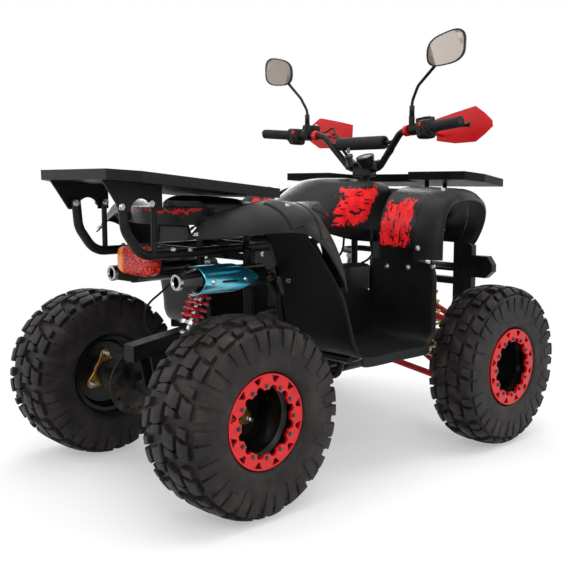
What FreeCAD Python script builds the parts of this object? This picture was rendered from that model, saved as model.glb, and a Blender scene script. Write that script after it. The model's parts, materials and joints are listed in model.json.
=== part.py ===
import FreeCAD, Part
import math
import os

# A utility quad bike, in millimetres. +X is the rider's right, +Y is forward, +Z is up.
# The origin is on the ground at the middle of the vehicle's length and width.
# Helper at(x, y, z) takes y ahead of the rear axle, which is how the sizes below are measured.

V = FreeCAD.Vector

# Whole vehicle
wheelbase = 923.0
bumper_overhang = 282.0
seat_gap = 0.3
cut_margin = 4.0

# Tyres, knobby, the same pattern front and rear
rear_tyre_radius = 239.5
rear_tyre_width = 206.0
rear_wheel_x = 340.0
front_tyre_radius = 241.5
front_tyre_width = 148.0
front_wheel_x = 428.0
lug_height = 13.0
bead_radius = 104.0
lug_columns = 60
bead_half_share = 0.62
tyre_profile_shares = [(-0.97, 0.42), (-1.0, 0.80), (-0.78, 0.955), (-0.24, 1.0),
                       (0.24, 1.0), (0.78, 0.955), (1.0, 0.80), (0.97, 0.42)]

# Rims with a deep dish, and the red lobed rings bolted to their outer lips
rim_wall = 4.0
rim_lip = 7.0
rear_rim_half_width = 77.0
front_rim_half_width = 60.0
rim_drop = 11.0
rear_dish_x = 292.0
front_dish_x = 398.0
hub_radius = 34.0
rear_hub_length = 46.0
front_hub_length = 24.0
ring_radius = 114.0
ring_thickness = 8.0
ring_inner_radius = 77.0
ring_lobes = 12
ring_bolt_circle = 85.0
ring_bolt_hole = 3.2
ring_scallop_radius = 11.0
ring_window_radius = 102.0
ring_window_width = 24.0
ring_window_height = 15.0

# Rear axle, brake disc and sprocket
axle_radius = 16.0
axle_running_fit = 0.08
carrier_radius = 33.0
carrier_half_length = 62.0
disc_x = -112.0
disc_radius = 92.0
disc_thickness = 5.0
disc_hub_radius = 50.0
sprocket_x = 82.0
sprocket_radius = 72.0
sprocket_teeth = 30
tooth_height = 6.0
sprocket_thickness = 6.0

# Swing arm and rear shock
beam_width = 46.0
beam_height = 42.0
beam_rear_y = -100.0
pivot_y = 262.0
pivot_z = 372.0
pivot_radius = 20.0
carrier_plate = 8.0

# Frame tubes
tube_radius = 13.0
small_tube_radius = 10.0
post_radius = 12.0
brace_radius = 11.0
frame_half_width = 105.0
rail_height = 226.0
top_rail_height = 618.0
front_half_width = 70.0
arm_spread = 85.0
bend_radius = 60.0
footbar_reach = 362.0
footbar_rear_y = 352.0
footbar_front_y = 500.0
shock_hoop_height = 560.0
shock_top_x = 162.0

# Steering
stem_top_y = 805.0
stem_top_z = 835.0
stem_foot_z = 262.0
stem_radius = 13.0
bush_wall = 9.0
clamp_half_width = 38.0
clamp_half_depth = 18.0
clamp_drop = 26.0
clamp_wall = 9.0
pitman_reach = 53.0
pin_overhang = 3.0
lever_play = 3.0
lever_thickness = 10.0
pin_radius = 6.0
link_radius = 7.0
eye_radius = 11.0
eye_height = 12.0
open_eye_play = 4.0

# Front suspension and knuckles
kingpin_x = 333.0
kingpin_low_z = 166.0
kingpin_high_z = 334.0
kingpin_radius = 15.0
arm_eye_height = 26.0
stub_radius = 10.0
arm_tube_radius = 10.0
arm_bush_radius = 12.0
arm_bush_length = 34.0
upper_arm_inner_z = 404.0
arm_tie_share = 0.42

# Shocks and springs
shock_radius = 13.0
shock_rod_radius = 6.0
shock_eye_radius = 13.0
shock_eye_width = 24.0
spring_wire = 4.5
front_spring_radius = 26.0
rear_spring_radius = 28.0
rear_eye_y = 140.0
rear_eye_z = 576.0
rear_low_eye_y = 55.0
rear_shock_x = 41.0
rear_low_eye_z = 389.0
spring_turns = 7
spring_steps = 8
spring_sides = 6

# Engine, an open horizontal single
crankcase_length = 235.0
crankcase_half_width = 60.0
crankcase_rear_y = 352.0
crankcase_low_z = 246.0
crankcase_height = 168.0
cover_radius = 72.0
cover_thickness = 34.0
fin_count = 7
fin_size = 118.0
fin_thickness = 4.0
fin_pitch = 13.0
cylinder_radius = 42.0
head_length = 46.0
carb_radius = 26.0
air_box_length = 120.0
output_inset = 44.0
output_radius = 28.0

# Exhausts
muffler_x = 150.0
muffler_height = 545.0
muffler_radius = 32.0
muffler_tip_y = -50.0
muffler_cone = 62.0
muffler_length = 300.0
tip_radius = 18.5
tip_bore_radius = 13.0
header_radius = 15.0
shield_wall = 2.5
shield_start = 66.0
shield_length = 190.0
hanger_y = 196.0

# Bodywork
panel_wall = 3.0
flare_inner_x = 330.0
flare_outer_x = 430.0
flare_rear_reach = 64.0
flare_front_reach = 290.0
flare_low_z = 520.0
flare_top_z = 746.0
flare_crest_shares = [(0.606, 0.147, 0.796), (0.652, 0.266, 0.876), (0.727, 0.345, 0.916),
                      (0.818, 0.407, 0.965), (0.909, 0.492, 1.0), (0.970, 0.576, 1.0),
                      (1.0, 0.675, 0.965), (1.0, 0.788, 0.863), (1.0, 0.901, 0.655),
                      (1.0, 0.977, 0.354), (1.0, 1.0, 0.044)]
flare_lip_shares = [(0.488, 0.0, 0.602), (0.628, 0.127, 0.611), (0.756, 0.232, 0.646),
                    (0.860, 0.322, 0.668), (0.942, 0.412, 0.681), (0.988, 0.506, 0.668),
                    (1.0, 0.605, 0.606), (1.0, 0.718, 0.478), (1.0, 0.816, 0.288),
                    (1.0, 0.887, 0.128), (1.0, 0.921, 0.0)]
seat_half_width = 144.0
seat_front_y = 392.0
seat_rear_y = 66.0
seat_top_z = 755.0
seat_low_z = 690.0
seat_shares = [(0.0, 0.66, 0.10, 0.93), (0.04, 0.76, 0.03, 0.99), (0.13, 0.86, 0.0, 0.99),
               (0.34, 0.98, 0.0, 0.90), (0.60, 1.0, 0.0, 0.83), (0.84, 0.90, 0.0, 0.81),
               (1.0, 0.80, 0.06, 0.80)]
cowl_low_z = 684.0
cowl_top_z = 727.0
cowl_bend_y = 50.0
cowl_depth = 90.0
cowl_front_y = 64.0
fender_stay_y = 55.0
deck_dip = 26.0
deck_front_y = 425.0
seat_clearance = 8.0
fender_seam = 2.4
lobe_width = 60.0
lobe_lap = 10.0
lobe_rise = 8.0
lobe_drop = 44.0
tank_half_width = 170.0
tank_rear_y = 400.0
tank_front_y = 764.0
tank_top_z = 806.0
tank_low_z = 612.0
hood_half_width = 445.0
hood_lip_width = 75.0
hood_lip_drop = 34.0
hood_rear_y = 600.0
hood_front_y = 1058.0
hood_low_z = 577.0
hood_top_z = 775.0
hood_profile_shares = [(0.0, 0.0), (0.004, 0.33), (0.03, 0.62), (0.095, 0.85), (0.195, 0.965),
                       (0.33, 1.0), (0.48, 0.975), (0.63, 0.88), (0.76, 0.735), (0.87, 0.56),
                       (0.955, 0.36), (0.995, 0.18), (1.0, 0.08)]
hood_width_shares = [1.0, 1.0, 1.0, 1.0, 1.0, 1.0, 0.975, 0.93, 0.86, 0.78, 0.70, 0.645, 0.62]
hood_window_half_width = 200.0
hood_wall_low_z = 608.0
hood_window_front_y = 848.0
lamp_radius = 44.0
lamp_x = 118.0
lamp_height = 668.0
lamp_depth = 60.0

# Foot wells: a splash wall behind the foot, a tray and a front wall, in one sheet
well_inner_x = 171.0
well_outer_x = 412.0
well_rear_y = 306.0
well_front_y = 618.0
well_floor_z = 338.0
well_rear_top_z = 640.0
well_front_top_z = 572.0
well_wall = 4.0
well_corner = 45.0
tray_skirt = 42.0
tray_inset = 26.0

# Racks
rack_half_width = 215.0
rack_rear_y = -248.0
rack_front_y = 235.0
rack_rear_top_z = 822.0
rack_front_top_z = 775.0
rack_rim = 25.0
rack_chamfer = 58.0
rack_floor = 5.0
rack_rib = 14.0
rack_tube_x = 110.0
rack_tube_radius = 12.0
rack_bolt_y = -178.0
rack_bolt_z = 735.0
rack_strut_y = -93.0
rack_strut_radius = 7.0
gusset_thickness = 5.0
gusset_front_y = -75.0
gusset_tab = 13.0
gusset_arch_radius = 30.0
front_rack_half_width = 381.0
front_rack_rear_y = 818.0
front_rack_front_y = 1150.0
front_rack_top_z = 824.0
front_rack_nose_top_z = 802.0
front_rack_nose_half_width = 300.0
front_rack_inner_x = 170.0
front_rack_bridge_y = 905.0

# Bumper
bumper_plate_x = 128.0
bumper_plate_width = 76.0
bumper_low_z = 372.0
bumper_top_z = 588.0
bumper_thickness = 26.0
bumper_wing_x = 248.0
bumper_wing_low_z = 466.0
bumper_wing_top_z = 541.0
bumper_bar_height = 24.0

# Tail lamp
tail_half_width = 84.0
tail_low_z = 552.0
tail_top_z = 628.0
lamp_rear_y = -86.0
tail_depth = 44.0
bracket_wall = 6.0

# Handlebar and what it carries
bar_radius = 11.0
bar_rise_x = 165.0
bar_rise_y = 785.0
bar_rise_z = 945.0
bar_end_x = 418.0
bar_end_y = 739.0
bar_end_z = 964.0
grip_radius = 16.0
grip_length = 120.0
housing_length = 44.0
housing_radius = 21.0
pad_radius = 17.0
pad_half_length = 102.0
pad_z = 916.0
guard_y = 942.0
guard_sweep = 16.0
guard_wall = 4.0
guard_stay_inset = 24.0
guard_stay_radius = 5.5
guard_inner_x = 180.0
guard_outer_x = 400.0
guard_low_z = 912.0
guard_top_z = 1022.0
guard_outline_shares = [(0.0, 0.72), (0.34, 0.87), (0.69, 1.0), (0.85, 0.80), (0.985, 0.58),
                        (1.0, 0.42), (0.86, 0.21), (0.70, 0.02), (0.34, 0.0), (0.02, 0.09)]
mirror_x = 353.0
mirror_y = 748.0
mirror_z = 1170.0
mirror_half_width = 67.0
mirror_half_height = 49.0
mirror_depth = 18.0
mirror_stem_radius = 4.5
mirror_foot_x = 224.0
mirror_foot_y = 764.0
mirror_boot_z = 1019.0

# Places worked out from the sizes above
column_angle = math.pi / lug_columns
rear_wheel_z = rear_tyre_radius * math.cos(column_angle)
front_wheel_z = front_tyre_radius * math.cos(column_angle)
rear_axle_y = rear_wheel_z - (rear_wheel_z + wheelbase + bumper_overhang) / 2
tilt = math.atan2(wheelbase - stem_top_y, stem_top_z - stem_foot_z)


def at(x, y, z):
    """A point from x right of the middle, y ahead of the rear axle and z above the ground."""
    return V(x, rear_axle_y + y, z)


def mixed(low, high, share):
    """The value a share of the way from low to high."""
    return low + (high - low) * share


def mirrored(shape):
    """The same shape on the other side of the vehicle."""
    return shape.mirror(V(0, 0, 0), V(1, 0, 0))


def pair(shape):
    """A right-hand shape and its left-hand twin, as solids that share a node."""
    return Part.makeCompound([shape, mirrored(shape)])


def fused(shapes):
    """One solid from several that overlap."""
    whole = shapes[0].multiFuse(shapes[1:])
    clean = whole.removeSplitter()
    return clean if clean.isValid() else whole


def block(low, high):
    """A box between two corners."""
    size = high - low
    return Part.makeBox(size.x, size.y, size.z, low)


def rod(start, end, radius):
    """A round bar from one point to another."""
    run = end - start
    return Part.makeCylinder(radius, run.Length, start, run)


def ring_of(start, end, outer, inner):
    """A sleeve from one point to another, with a clear bore."""
    run = end - start
    step = V(run).normalize() * cut_margin
    return rod(start, end, outer).cut(rod(start - step, end + step, inner))


def across(x, y, z, length, radius):
    """A bar along X with its middle at a point."""
    return rod(at(x - length / 2, y, z), at(x + length / 2, y, z), radius)


def route(points, bend):
    """Straight runs joined by tangent arcs: each arc has the bend radius, or less on short runs."""
    edges = []
    start = points[0]
    for before, corner, after in zip(points, points[1:], points[2:]):
        back = V(before - corner)
        onward = V(after - corner)
        shorter = min(back.Length, onward.Length)
        back.normalize()
        onward.normalize()
        half = back.getAngle(onward) / 2
        trim = min(bend / math.tan(half), 0.45 * shorter)
        radius = trim * math.tan(half)
        towards = V(back + onward).normalize()
        centre = corner + towards * (radius / math.sin(half))
        first = corner + back * trim
        last = corner + onward * trim
        edges.append(Part.makeLine(start, first))
        edges.append(Part.Arc(first, centre - towards * radius, last).toShape())
        start = last
    edges.append(Part.makeLine(start, points[-1]))
    return Part.Wire(edges)


def bent_tube(points, radius, bend=bend_radius):
    """A round tube along a bent route."""
    profile = Part.Wire(Part.makeCircle(radius, points[0], points[1] - points[0]))
    return route(points, bend).makePipeShell([profile], True, False)


def turned(profile, x, y, z):
    """A ring turned about a line along X: profile points are (distance along X, radius)."""
    corners = [at(x + along, y, z + radius) for along, radius in profile]
    face = Part.Face(Part.makePolygon(corners + corners[:1]))
    return face.revolve(at(x, y, z), V(1, 0, 0), 360)


def slab(outline, direction):
    """A flat plate from its outline's corners and the way it is thick."""
    return Part.Face(Part.makePolygon(outline + outline[:1])).extrude(direction)


def solid_of(points, triangles):
    """A closed solid from corners and triangles."""
    surface = Part.Shape()
    surface.makeShapeFromMesh((points, triangles), seat_gap / 10)
    body = Part.makeSolid(surface.Shells[0])
    if body.Volume < 0:
        body.reverse()
    return body


def with_midpoints(grid):
    """The grid with a smooth row added between each two, which keeps the surface from overshooting."""
    rows = [grid[0]]
    for i in range(len(grid) - 1):
        before = grid[max(i - 1, 0)]
        after = grid[min(i + 2, len(grid) - 1)]
        rows.append([((near + far) * 9 - (back + ahead)) / 16
                     for back, near, far, ahead in zip(before, grid[i], grid[i + 1], after)])
        rows.append(grid[i + 1])
    return rows


def skin(grid, wall):
    """A curved sheet of one thickness: a smooth surface through a grid, walled to its left."""
    grid = with_midpoints(grid)
    rows = len(grid)
    columns = len(grid[0])
    inner = []
    for i in range(rows):
        line = []
        for j in range(columns):
            along = grid[min(i + 1, rows - 1)][j] - grid[max(i - 1, 0)][j]
            over = grid[i][min(j + 1, columns - 1)] - grid[i][max(j - 1, 0)]
            line.append(grid[i][j] + along.cross(over).normalize() * wall)
        inner.append(line)
    faces = []
    edges = []
    for points in (grid, inner):
        surface = Part.BSplineSurface()
        surface.interpolate(points)
        u0, u1, v0, v1 = surface.bounds()
        faces.append(surface.toShape())
        lines = [surface.uIso(u0), surface.uIso(u1), surface.vIso(v0), surface.vIso(v1)]
        edges.append([line.toShape() for line in lines])
    faces += [Part.makeRuledSurface(first, second) for first, second in zip(*edges)]
    shell = Part.makeShell(faces)
    shell.sewShape()
    body = Part.makeSolid(shell.Shells[0])
    if body.Volume < 0:
        body.reverse()
    return body


def lofted(sections):
    """A smooth closed form through closed sections."""
    wires = []
    for points in sections:
        curve = Part.BSplineCurve()
        curve.interpolate(points, PeriodicFlag=True)
        wires.append(Part.Wire(curve.toShape()))
    return Part.makeLoft(wires, True, False)


def coil(start, end, radius, turns):
    """A coil spring of faceted wire: a six-sided section carried round a helix."""
    axis = end - start
    length = axis.Length
    axis.normalize()
    side = axis.cross(V(1, 0, 0) if abs(axis.x) < abs(axis.y) else V(0, 1, 0)).normalize()
    other = axis.cross(side)
    stations = turns * spring_steps
    points = []
    for i in range(stations + 1):
        angle = 2 * math.pi * i / spring_steps
        outward = side * math.cos(angle) + other * math.sin(angle)
        rise = mixed(spring_wire, length - spring_wire, i / stations)
        centre = start + axis * rise + outward * radius
        for k in range(spring_sides):
            turn = 2 * math.pi * k / spring_sides
            offset = outward * math.cos(turn) + axis * math.sin(turn)
            points.append(centre + offset * spring_wire)
    triangles = []
    for i in range(stations):
        for k in range(spring_sides):
            a = i * spring_sides + k
            b = i * spring_sides + (k + 1) % spring_sides
            triangles.append((a, b, b + spring_sides))
            triangles.append((a, b + spring_sides, a + spring_sides))
    last = stations * spring_sides
    for k in range(1, spring_sides - 1):
        triangles.append((0, k + 1, k))
        triangles.append((last, last + k, last + k + 1))
    return solid_of(points, triangles)


def tyre(x, y, z, radius, width):
    """A knobby tyre: columns of crown points stand at lug height or drop to the root, in threes."""
    root = radius - lug_height
    profile = [(-bead_half_share, bead_radius)]
    profile += [(along, mixed(bead_radius, radius, rise)) for along, rise in tyre_profile_shares]
    profile += [(bead_half_share, bead_radius)]
    points = []
    for i in range(lug_columns):
        angle = 2 * math.pi * (i + 0.5) / lug_columns
        for j, (along, reach) in enumerate(profile):
            left_root = j in (3, 4) and i % 3 == 0
            right_root = j in (5, 6) and (i + 1) % 3 == 0
            bulge = along * width / 2
            if left_root or right_root:
                reach = root
            if (j == 2 and i % 3 == 0) or (j == 7 and (i + 1) % 3 == 0):
                reach = reach - lug_height / 2
                bulge = bulge * 0.97
            points.append(at(x + bulge, y + reach * math.sin(angle), z - reach * math.cos(angle)))
    triangles = []
    count = len(profile)
    for i in range(lug_columns):
        ahead = (i + 1) % lug_columns
        for j in range(count):
            a = i * count + j
            b = i * count + (j + 1) % count
            c = ahead * count + (j + 1) % count
            d = ahead * count + j
            triangles.append((a, b, c))
            triangles.append((a, c, d))
    return solid_of(points, triangles)


def rim(x, y, z, half_width, dish_x, hub_length, bore):
    """A dished rim on the right: lips, a drop centre, a deep disc and a hub with a bore."""
    seat = bead_radius * math.cos(column_angle) - seat_gap
    low = seat - rim_drop
    under = low - rim_wall
    dish = dish_x - x
    profile = [(-half_width, seat - rim_wall), (-half_width, seat + rim_lip),
               (-half_width + rim_wall, seat + rim_lip), (-half_width + rim_wall, seat),
               (-half_width * 0.55, seat), (-half_width * 0.45, low),
               (half_width * 0.45, low), (half_width * 0.55, seat),
               (half_width - rim_wall, seat), (half_width - rim_wall, seat + rim_lip),
               (half_width, seat + rim_lip), (half_width, seat - rim_wall),
               (half_width * 0.6, seat - rim_wall), (half_width * 0.5, under),
               (dish + rim_wall, under), (dish + rim_wall, hub_radius),
               (dish + hub_length * 0.35, hub_radius * 0.8), (dish + hub_length * 0.35, bore),
               (dish - hub_length * 0.65, bore), (dish - hub_length * 0.65, hub_radius),
               (dish, hub_radius), (dish, under), (-half_width * 0.5, under),
               (-half_width * 0.6, seat - rim_wall)]
    return turned(profile, x, y, z)


def lock_ring(x, y, z):
    """A lobed ring on the right: bolt lobes inside, wedge windows between them."""
    middle = (ring_radius + ring_inner_radius) / 2
    plate = turned([(0, ring_inner_radius), (0, ring_radius), (ring_thickness, ring_radius),
                    (ring_thickness, ring_inner_radius)], x, y, z)
    tools = []
    for i in range(ring_lobes):
        lobe = 360.0 * i / ring_lobes
        between = lobe + 180.0 / ring_lobes
        centre = at(x, y, z)
        hole = Part.makeCylinder(ring_bolt_hole, ring_thickness + 2 * cut_margin,
                                 at(x - cut_margin, y, z + ring_bolt_circle), V(1, 0, 0))
        tools.append(hole.rotate(centre, V(1, 0, 0), lobe))
        notch = Part.makeCylinder(ring_scallop_radius, ring_thickness + 2 * cut_margin,
                                  at(x - cut_margin, y, z + ring_inner_radius), V(1, 0, 0))
        tools.append(notch.rotate(centre, V(1, 0, 0), between))
        top = ring_window_radius + ring_window_height / 2
        foot = ring_window_radius - ring_window_height / 2
        window = slab([at(x - cut_margin, y - ring_window_width / 2, z + top),
                       at(x - cut_margin, y + ring_window_width / 2, z + top),
                       at(x - cut_margin, y + ring_window_width / 8, z + foot),
                       at(x - cut_margin, y - ring_window_width / 8, z + foot)],
                      V(ring_thickness + 2 * cut_margin, 0, 0))
        tools.append(window.rotate(centre, V(1, 0, 0), between if middle > 0 else lobe))
    return plate.cut(tools)


def wheel(x, y, z, radius, width, half_width, dish_x, hub_length, bore):
    """One wheel on the right: its tyre, its rim and its ring."""
    outer = x + half_width + seat_gap
    return (tyre(x, y, z, radius, width),
            rim(x, y, z, half_width, dish_x, hub_length, bore),
            lock_ring(outer, y, z))


def toothed(x, y, z, radius, teeth, thickness):
    """A sprocket: a round plate whose rim rises and falls once a tooth."""
    points = []
    for i in range(4 * teeth):
        angle = 2 * math.pi * i / (4 * teeth)
        reach = radius - (tooth_height if i % 4 in (2, 3) else 0)
        points.append(at(x, y + reach * math.cos(angle), z + reach * math.sin(angle)))
    return slab(points, V(thickness, 0, 0))


def rear_axle():
    """The live axle with its brake disc and sprocket carried on it, one turning piece."""
    z = rear_wheel_z
    hub_end = rear_dish_x - rear_hub_length * 0.65
    shaft = across(0, 0, z, 2 * (rear_dish_x + rear_hub_length * 0.35), axle_radius)
    flange = across(hub_end - disc_thickness - seat_gap, 0, z, 2 * disc_thickness, hub_radius + 8)
    disc = across(disc_x, 0, z, disc_thickness, disc_radius)
    holes = []
    for i in range(12):
        hole = across(disc_x, 0, z + mixed(disc_hub_radius, disc_radius, 0.55),
                      disc_thickness + 2 * cut_margin, disc_thickness)
        holes.append(hole.rotate(at(0, 0, z), V(1, 0, 0), 30.0 * i))
    disc = disc.cut(holes)
    disc_hub = across(disc_x, 0, z, 6 * disc_thickness, disc_hub_radius / 2)
    gear = toothed(sprocket_x - sprocket_thickness / 2, 0, z, sprocket_radius, sprocket_teeth,
                   sprocket_thickness)
    gear_hub = across(sprocket_x, 0, z, 5 * sprocket_thickness, disc_hub_radius / 2)
    return fused([shaft, flange, mirrored(flange), disc, disc_hub, gear, gear_hub])


def beam_point(share):
    """The swing arm's line: the share of the way from its rear end to its pivot."""
    y = mixed(beam_rear_y, pivot_y, share)
    z = mixed(rear_wheel_z + 112, pivot_z + 12, min(1.0, share * 1.6)) - 12 * max(0.0, share - 0.6)
    return y, z


def swing_arm():
    """A box-section arm over the axle, its hanging plates, the bearing carrier and the pivot."""
    z = rear_wheel_z
    low = []
    high = []
    for share in (0.0, 0.3, 0.62, 1.0):
        y, middle = beam_point(share)
        low.append(at(-beam_width / 2, y, middle - beam_height / 2))
        high.append(at(-beam_width / 2, y, middle + beam_height / 2))
    beam = slab(low + high[::-1], V(beam_width, 0, 0))
    plate = slab([at(-beam_width / 2, -carrier_radius * 1.6, z + 100),
                  at(-beam_width / 2, carrier_radius * 2.4, z + 118),
                  at(-beam_width / 2, carrier_radius, z), at(-beam_width / 2, 0, z - carrier_radius),
                  at(-beam_width / 2, -carrier_radius, z)], V(-carrier_plate, 0, 0))
    carrier = across(0, 0, z, 2 * carrier_half_length, carrier_radius)
    lug = across(beam_width / 2, rear_low_eye_y, rear_low_eye_z,
                 2 * (rear_shock_x - shock_eye_width / 2 - seat_gap - beam_width / 2),
                 shock_eye_radius)
    pivot = across(0, pivot_y, pivot_z, 2 * (frame_half_width - tube_radius) - 2 * seat_gap,
                   pivot_radius)
    body = fused([beam, plate, mirrored(plate), carrier, pivot, lug])
    bore = across(0, 0, z, 3 * carrier_half_length, axle_radius + axle_running_fit)
    return body.cut(bore)


def caliper():
    """A brake caliper straddling the disc, with its arm to the swing arm's plate."""
    z = rear_wheel_z
    body = block(at(disc_x - 26, 22, z + 52), at(disc_x + 26, 80, z + 104))
    slot = block(at(disc_x - disc_thickness / 2 - 5, -cut_margin, z - cut_margin),
                 at(disc_x + disc_thickness / 2 + 5, 2 * disc_radius, z + disc_radius + 6))
    arm = block(at(disc_x + 20, 36, z + 80),
                at(-beam_width / 2 - carrier_plate - seat_gap, 66, z + 96))
    return fused([body.cut(slot), arm])


def shock(low, high):
    """A damper between two eyes: eye, rod, body and eye."""
    run = high - low
    axis = V(run).normalize()
    body = rod(mixed_point(low, high, 0.42), high - axis * shock_eye_radius * 0.5, shock_radius)
    stem = rod(low + axis * shock_eye_radius * 0.5, mixed_point(low, high, 0.5), shock_rod_radius)
    collars = []
    for share in (0.14, 0.86):
        middle = mixed_point(low, high, share)
        collars.append(rod(middle - axis * spring_wire, middle + axis * spring_wire,
                           front_spring_radius + spring_wire / 2))
    half = V(0, shock_eye_width / 2, 0) if abs(axis.x) > abs(axis.y) else V(shock_eye_width / 2, 0, 0)
    eyes = [rod(end - half, end + half, shock_eye_radius) for end in (low, high)]
    return fused([body, stem] + collars + eyes)


def mixed_point(low, high, share):
    """The point a share of the way along a line."""
    return low + (high - low) * share


def spring_on(low, high, radius):
    """The coil round a damper, from one collar to the other."""
    axis = V(high - low).normalize()
    gap = axis * (spring_wire + seat_gap)
    start = mixed_point(low, high, 0.14) + gap
    end = mixed_point(low, high, 0.86) - gap
    return coil(start, end, radius, spring_turns)


def stem_point(z):
    """Where the steering stem's axis is at a height."""
    return at(0, wheelbase - (z - stem_foot_z) * math.tan(tilt), z)


def frame():
    """Welded tubes: side loops, front uprights, cross members, foot bars and shock hoops."""
    half = frame_half_width
    nose = front_half_width
    rail = rail_height
    top = top_rail_height
    front = wheelbase + arm_spread
    back = wheelbase - arm_spread
    side = [
        bent_tube([at(half, 215, top), at(half, 222, rail + 60), at(half, 290, rail),
                   at(half, 600, rail), at(nose, 800, rail - 9), at(nose, front + 20, rail - 9)],
                  tube_radius),
        bent_tube([at(half, 30, top - 6), at(half, 470, top), at(nose, 650, 700),
                   at(nose, 780, 722), at(nose, back + 18, 722)], post_radius),
        rod(at(nose, back, rail - 9), at(nose, back, 720), brace_radius),
        bent_tube([at(nose, front, rail - 9), at(nose, front, 560), at(nose, back, 650)],
                  post_radius),
        bent_tube([at(nose, back, shock_hoop_height), at(shock_top_x, back + 40, shock_hoop_height),
                   at(shock_top_x, front - 40, shock_hoop_height), at(nose, front, 552)],
                  small_tube_radius, 30),
        bent_tube([at(half, hanger_y, top), at(muffler_x, hanger_y, top - 8),
                   at(muffler_x, hanger_y, muffler_height + muffler_radius + seat_gap)], 6.0, 12),
        block(at(half - tube_radius, 214, pivot_z - 22), at(half, pivot_y + 14, pivot_z + 22)),
        rod(at(nose, back + 52, 600), at(nose, back + 52, hood_under(back + 52, nose) + 1),
            small_tube_radius),
    ]
    foot = well_floor_z - well_wall - seat_gap - small_tube_radius
    for y in (footbar_rear_y, footbar_front_y):
        side.append(bent_tube([at(half, y, rail - 4), at(half + 70, y, rail),
                               at(half + 104, y, foot), at(footbar_reach, y, foot)],
                              small_tube_radius, 30))
    side.append(rod(at(60, 250, top), at(60, 250, seat_low_z - seat_gap), small_tube_radius))
    side.append(rod(at(half, fender_stay_y, top - 6),
                    at(half, fender_stay_y, cowl_top_z - panel_wall - seat_gap), rack_strut_radius))
    loops = side + [mirrored(tube) for tube in side]
    ties = [across(0, 215, top - 30, 2 * half, small_tube_radius),
            across(0, 60, top - 6, 2 * half, small_tube_radius),
            across(0, 250, top, 2 * half, small_tube_radius),
            across(0, 300, rail, 2 * half, small_tube_radius),
            across(0, 640, rail - 1, 2 * half * 0.9, small_tube_radius),
            across(0, 430, crankcase_low_z - seat_gap - small_tube_radius, 2 * half,
                   small_tube_radius),
            across(0, rear_eye_y, rear_eye_z + shock_eye_radius + seat_gap + small_tube_radius,
                   2 * half, small_tube_radius),
            across(0, 640, 698, 2 * nose, small_tube_radius),
            rod(at(0, 640, 698), at(0, 640, tank_top_z - panel_wall + seat_gap),
                small_tube_radius),
            across(0, front, rail - 9, 2 * nose, small_tube_radius),
            across(0, 778, 722, 2 * nose, small_tube_radius),
            across(0, 968, 330, 2 * nose, small_tube_radius),
            across(0, front, 330, 2 * nose, small_tube_radius)]
    lower = block(at(-nose, 958, 322), at(nose, front, 338))
    bushes = []
    for z, y in ((722, 778), (330, 968)):
        centre = stem_point(z)
        axis = V(stem_point(z + 10) - centre).normalize()
        sleeve = rod(centre - axis * 14, centre + axis * 14, stem_radius + bush_wall)
        web = block(at(-9, min(y, centre.y - rear_axle_y), z - 8),
                    at(9, max(y, centre.y - rear_axle_y), z + 8))
        bushes.append(fused([sleeve, web]))
    body = fused(loops + ties + bushes + [lower])
    bore = rod(stem_point(stem_foot_z), stem_point(stem_top_z), stem_radius + axle_running_fit)
    return body.cut(bore)


def engine():
    """An open horizontal engine: crankcase, side covers, finned cylinder, head, carburettor."""
    rear = crankcase_rear_y
    front = rear + crankcase_length
    low = crankcase_low_z
    high = low + crankcase_height
    middle = low + crankcase_height / 2
    case = slab([at(-crankcase_half_width, rear, low + 40), at(-crankcase_half_width, rear + 50, low),
                 at(-crankcase_half_width, front - 20, low), at(-crankcase_half_width, front, low + 30),
                 at(-crankcase_half_width, front, middle + 46),
                 at(-crankcase_half_width, front - 70, high),
                 at(-crankcase_half_width, rear + 40, high - 14),
                 at(-crankcase_half_width, rear, high - 50)], V(2 * crankcase_half_width, 0, 0))
    case = case.makeFillet(9, case.Edges)
    covers = [across(-crankcase_half_width - cover_thickness / 2 + 2, front - 80, middle,
                     cover_thickness, cover_radius),
              across(crankcase_half_width + cover_thickness / 2 - 2, front - 76, middle,
                     cover_thickness, cover_radius * 0.8),
              across(crankcase_half_width + cover_thickness / 2, rear + output_inset, middle - 6,
                     cover_thickness, output_radius / 2),
              toothed(sprocket_x - sprocket_thickness / 2, rear + output_inset, middle - 6,
                      output_radius, sprocket_teeth // 2, sprocket_thickness),
              across(-crankcase_half_width - cover_thickness / 2 + 6, rear + 66, middle - 6,
                     cover_thickness * 0.8, cover_radius * 0.7)]
    centre = middle + 6
    start = front - 10
    cylinder = rod(at(0, start, centre), at(0, start + fin_count * fin_pitch + 20, centre + 12),
                   cylinder_radius)
    fins = []
    for i in range(fin_count):
        y = start + 16 + i * fin_pitch
        fin = block(at(-fin_size / 2, y, centre - fin_size / 2 + i),
                    at(fin_size / 2, y + fin_thickness, centre + fin_size / 2 + i))
        fins.append(fin.makeFillet(fin_size / 6, [edge for edge in fin.Edges
                                                  if abs(edge.tangentAt(0).y) > 0.9]))
    head_y = start + 14 + fin_count * fin_pitch
    head = block(at(-fin_size * 0.42, head_y, centre - fin_size * 0.42),
                 at(fin_size * 0.42, head_y + head_length, centre + fin_size * 0.42))
    head = head.makeFillet(12, head.Edges)
    intake = bent_tube([at(0, head_y + 20, centre + 30), at(0, head_y, centre + 92),
                        at(0, head_y - 70, centre + 112), at(0, head_y - 150, centre + 118)],
                       carb_radius * 0.62, 30)
    carb = rod(at(0, head_y - 120, centre + 116), at(0, head_y - 60, centre + 111), carb_radius)
    bowl = rod(at(0, head_y - 92, centre + 70), at(0, head_y - 92, centre + 116), carb_radius * 0.8)
    box_end = head_y - 148
    air_box = block(at(-44, box_end - air_box_length, centre + 76), at(44, box_end, centre + 160))
    air_box = air_box.makeFillet(14, air_box.Edges)
    return fused([case] + covers + [cylinder] + fins + [head, intake, carb, bowl, air_box])


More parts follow.
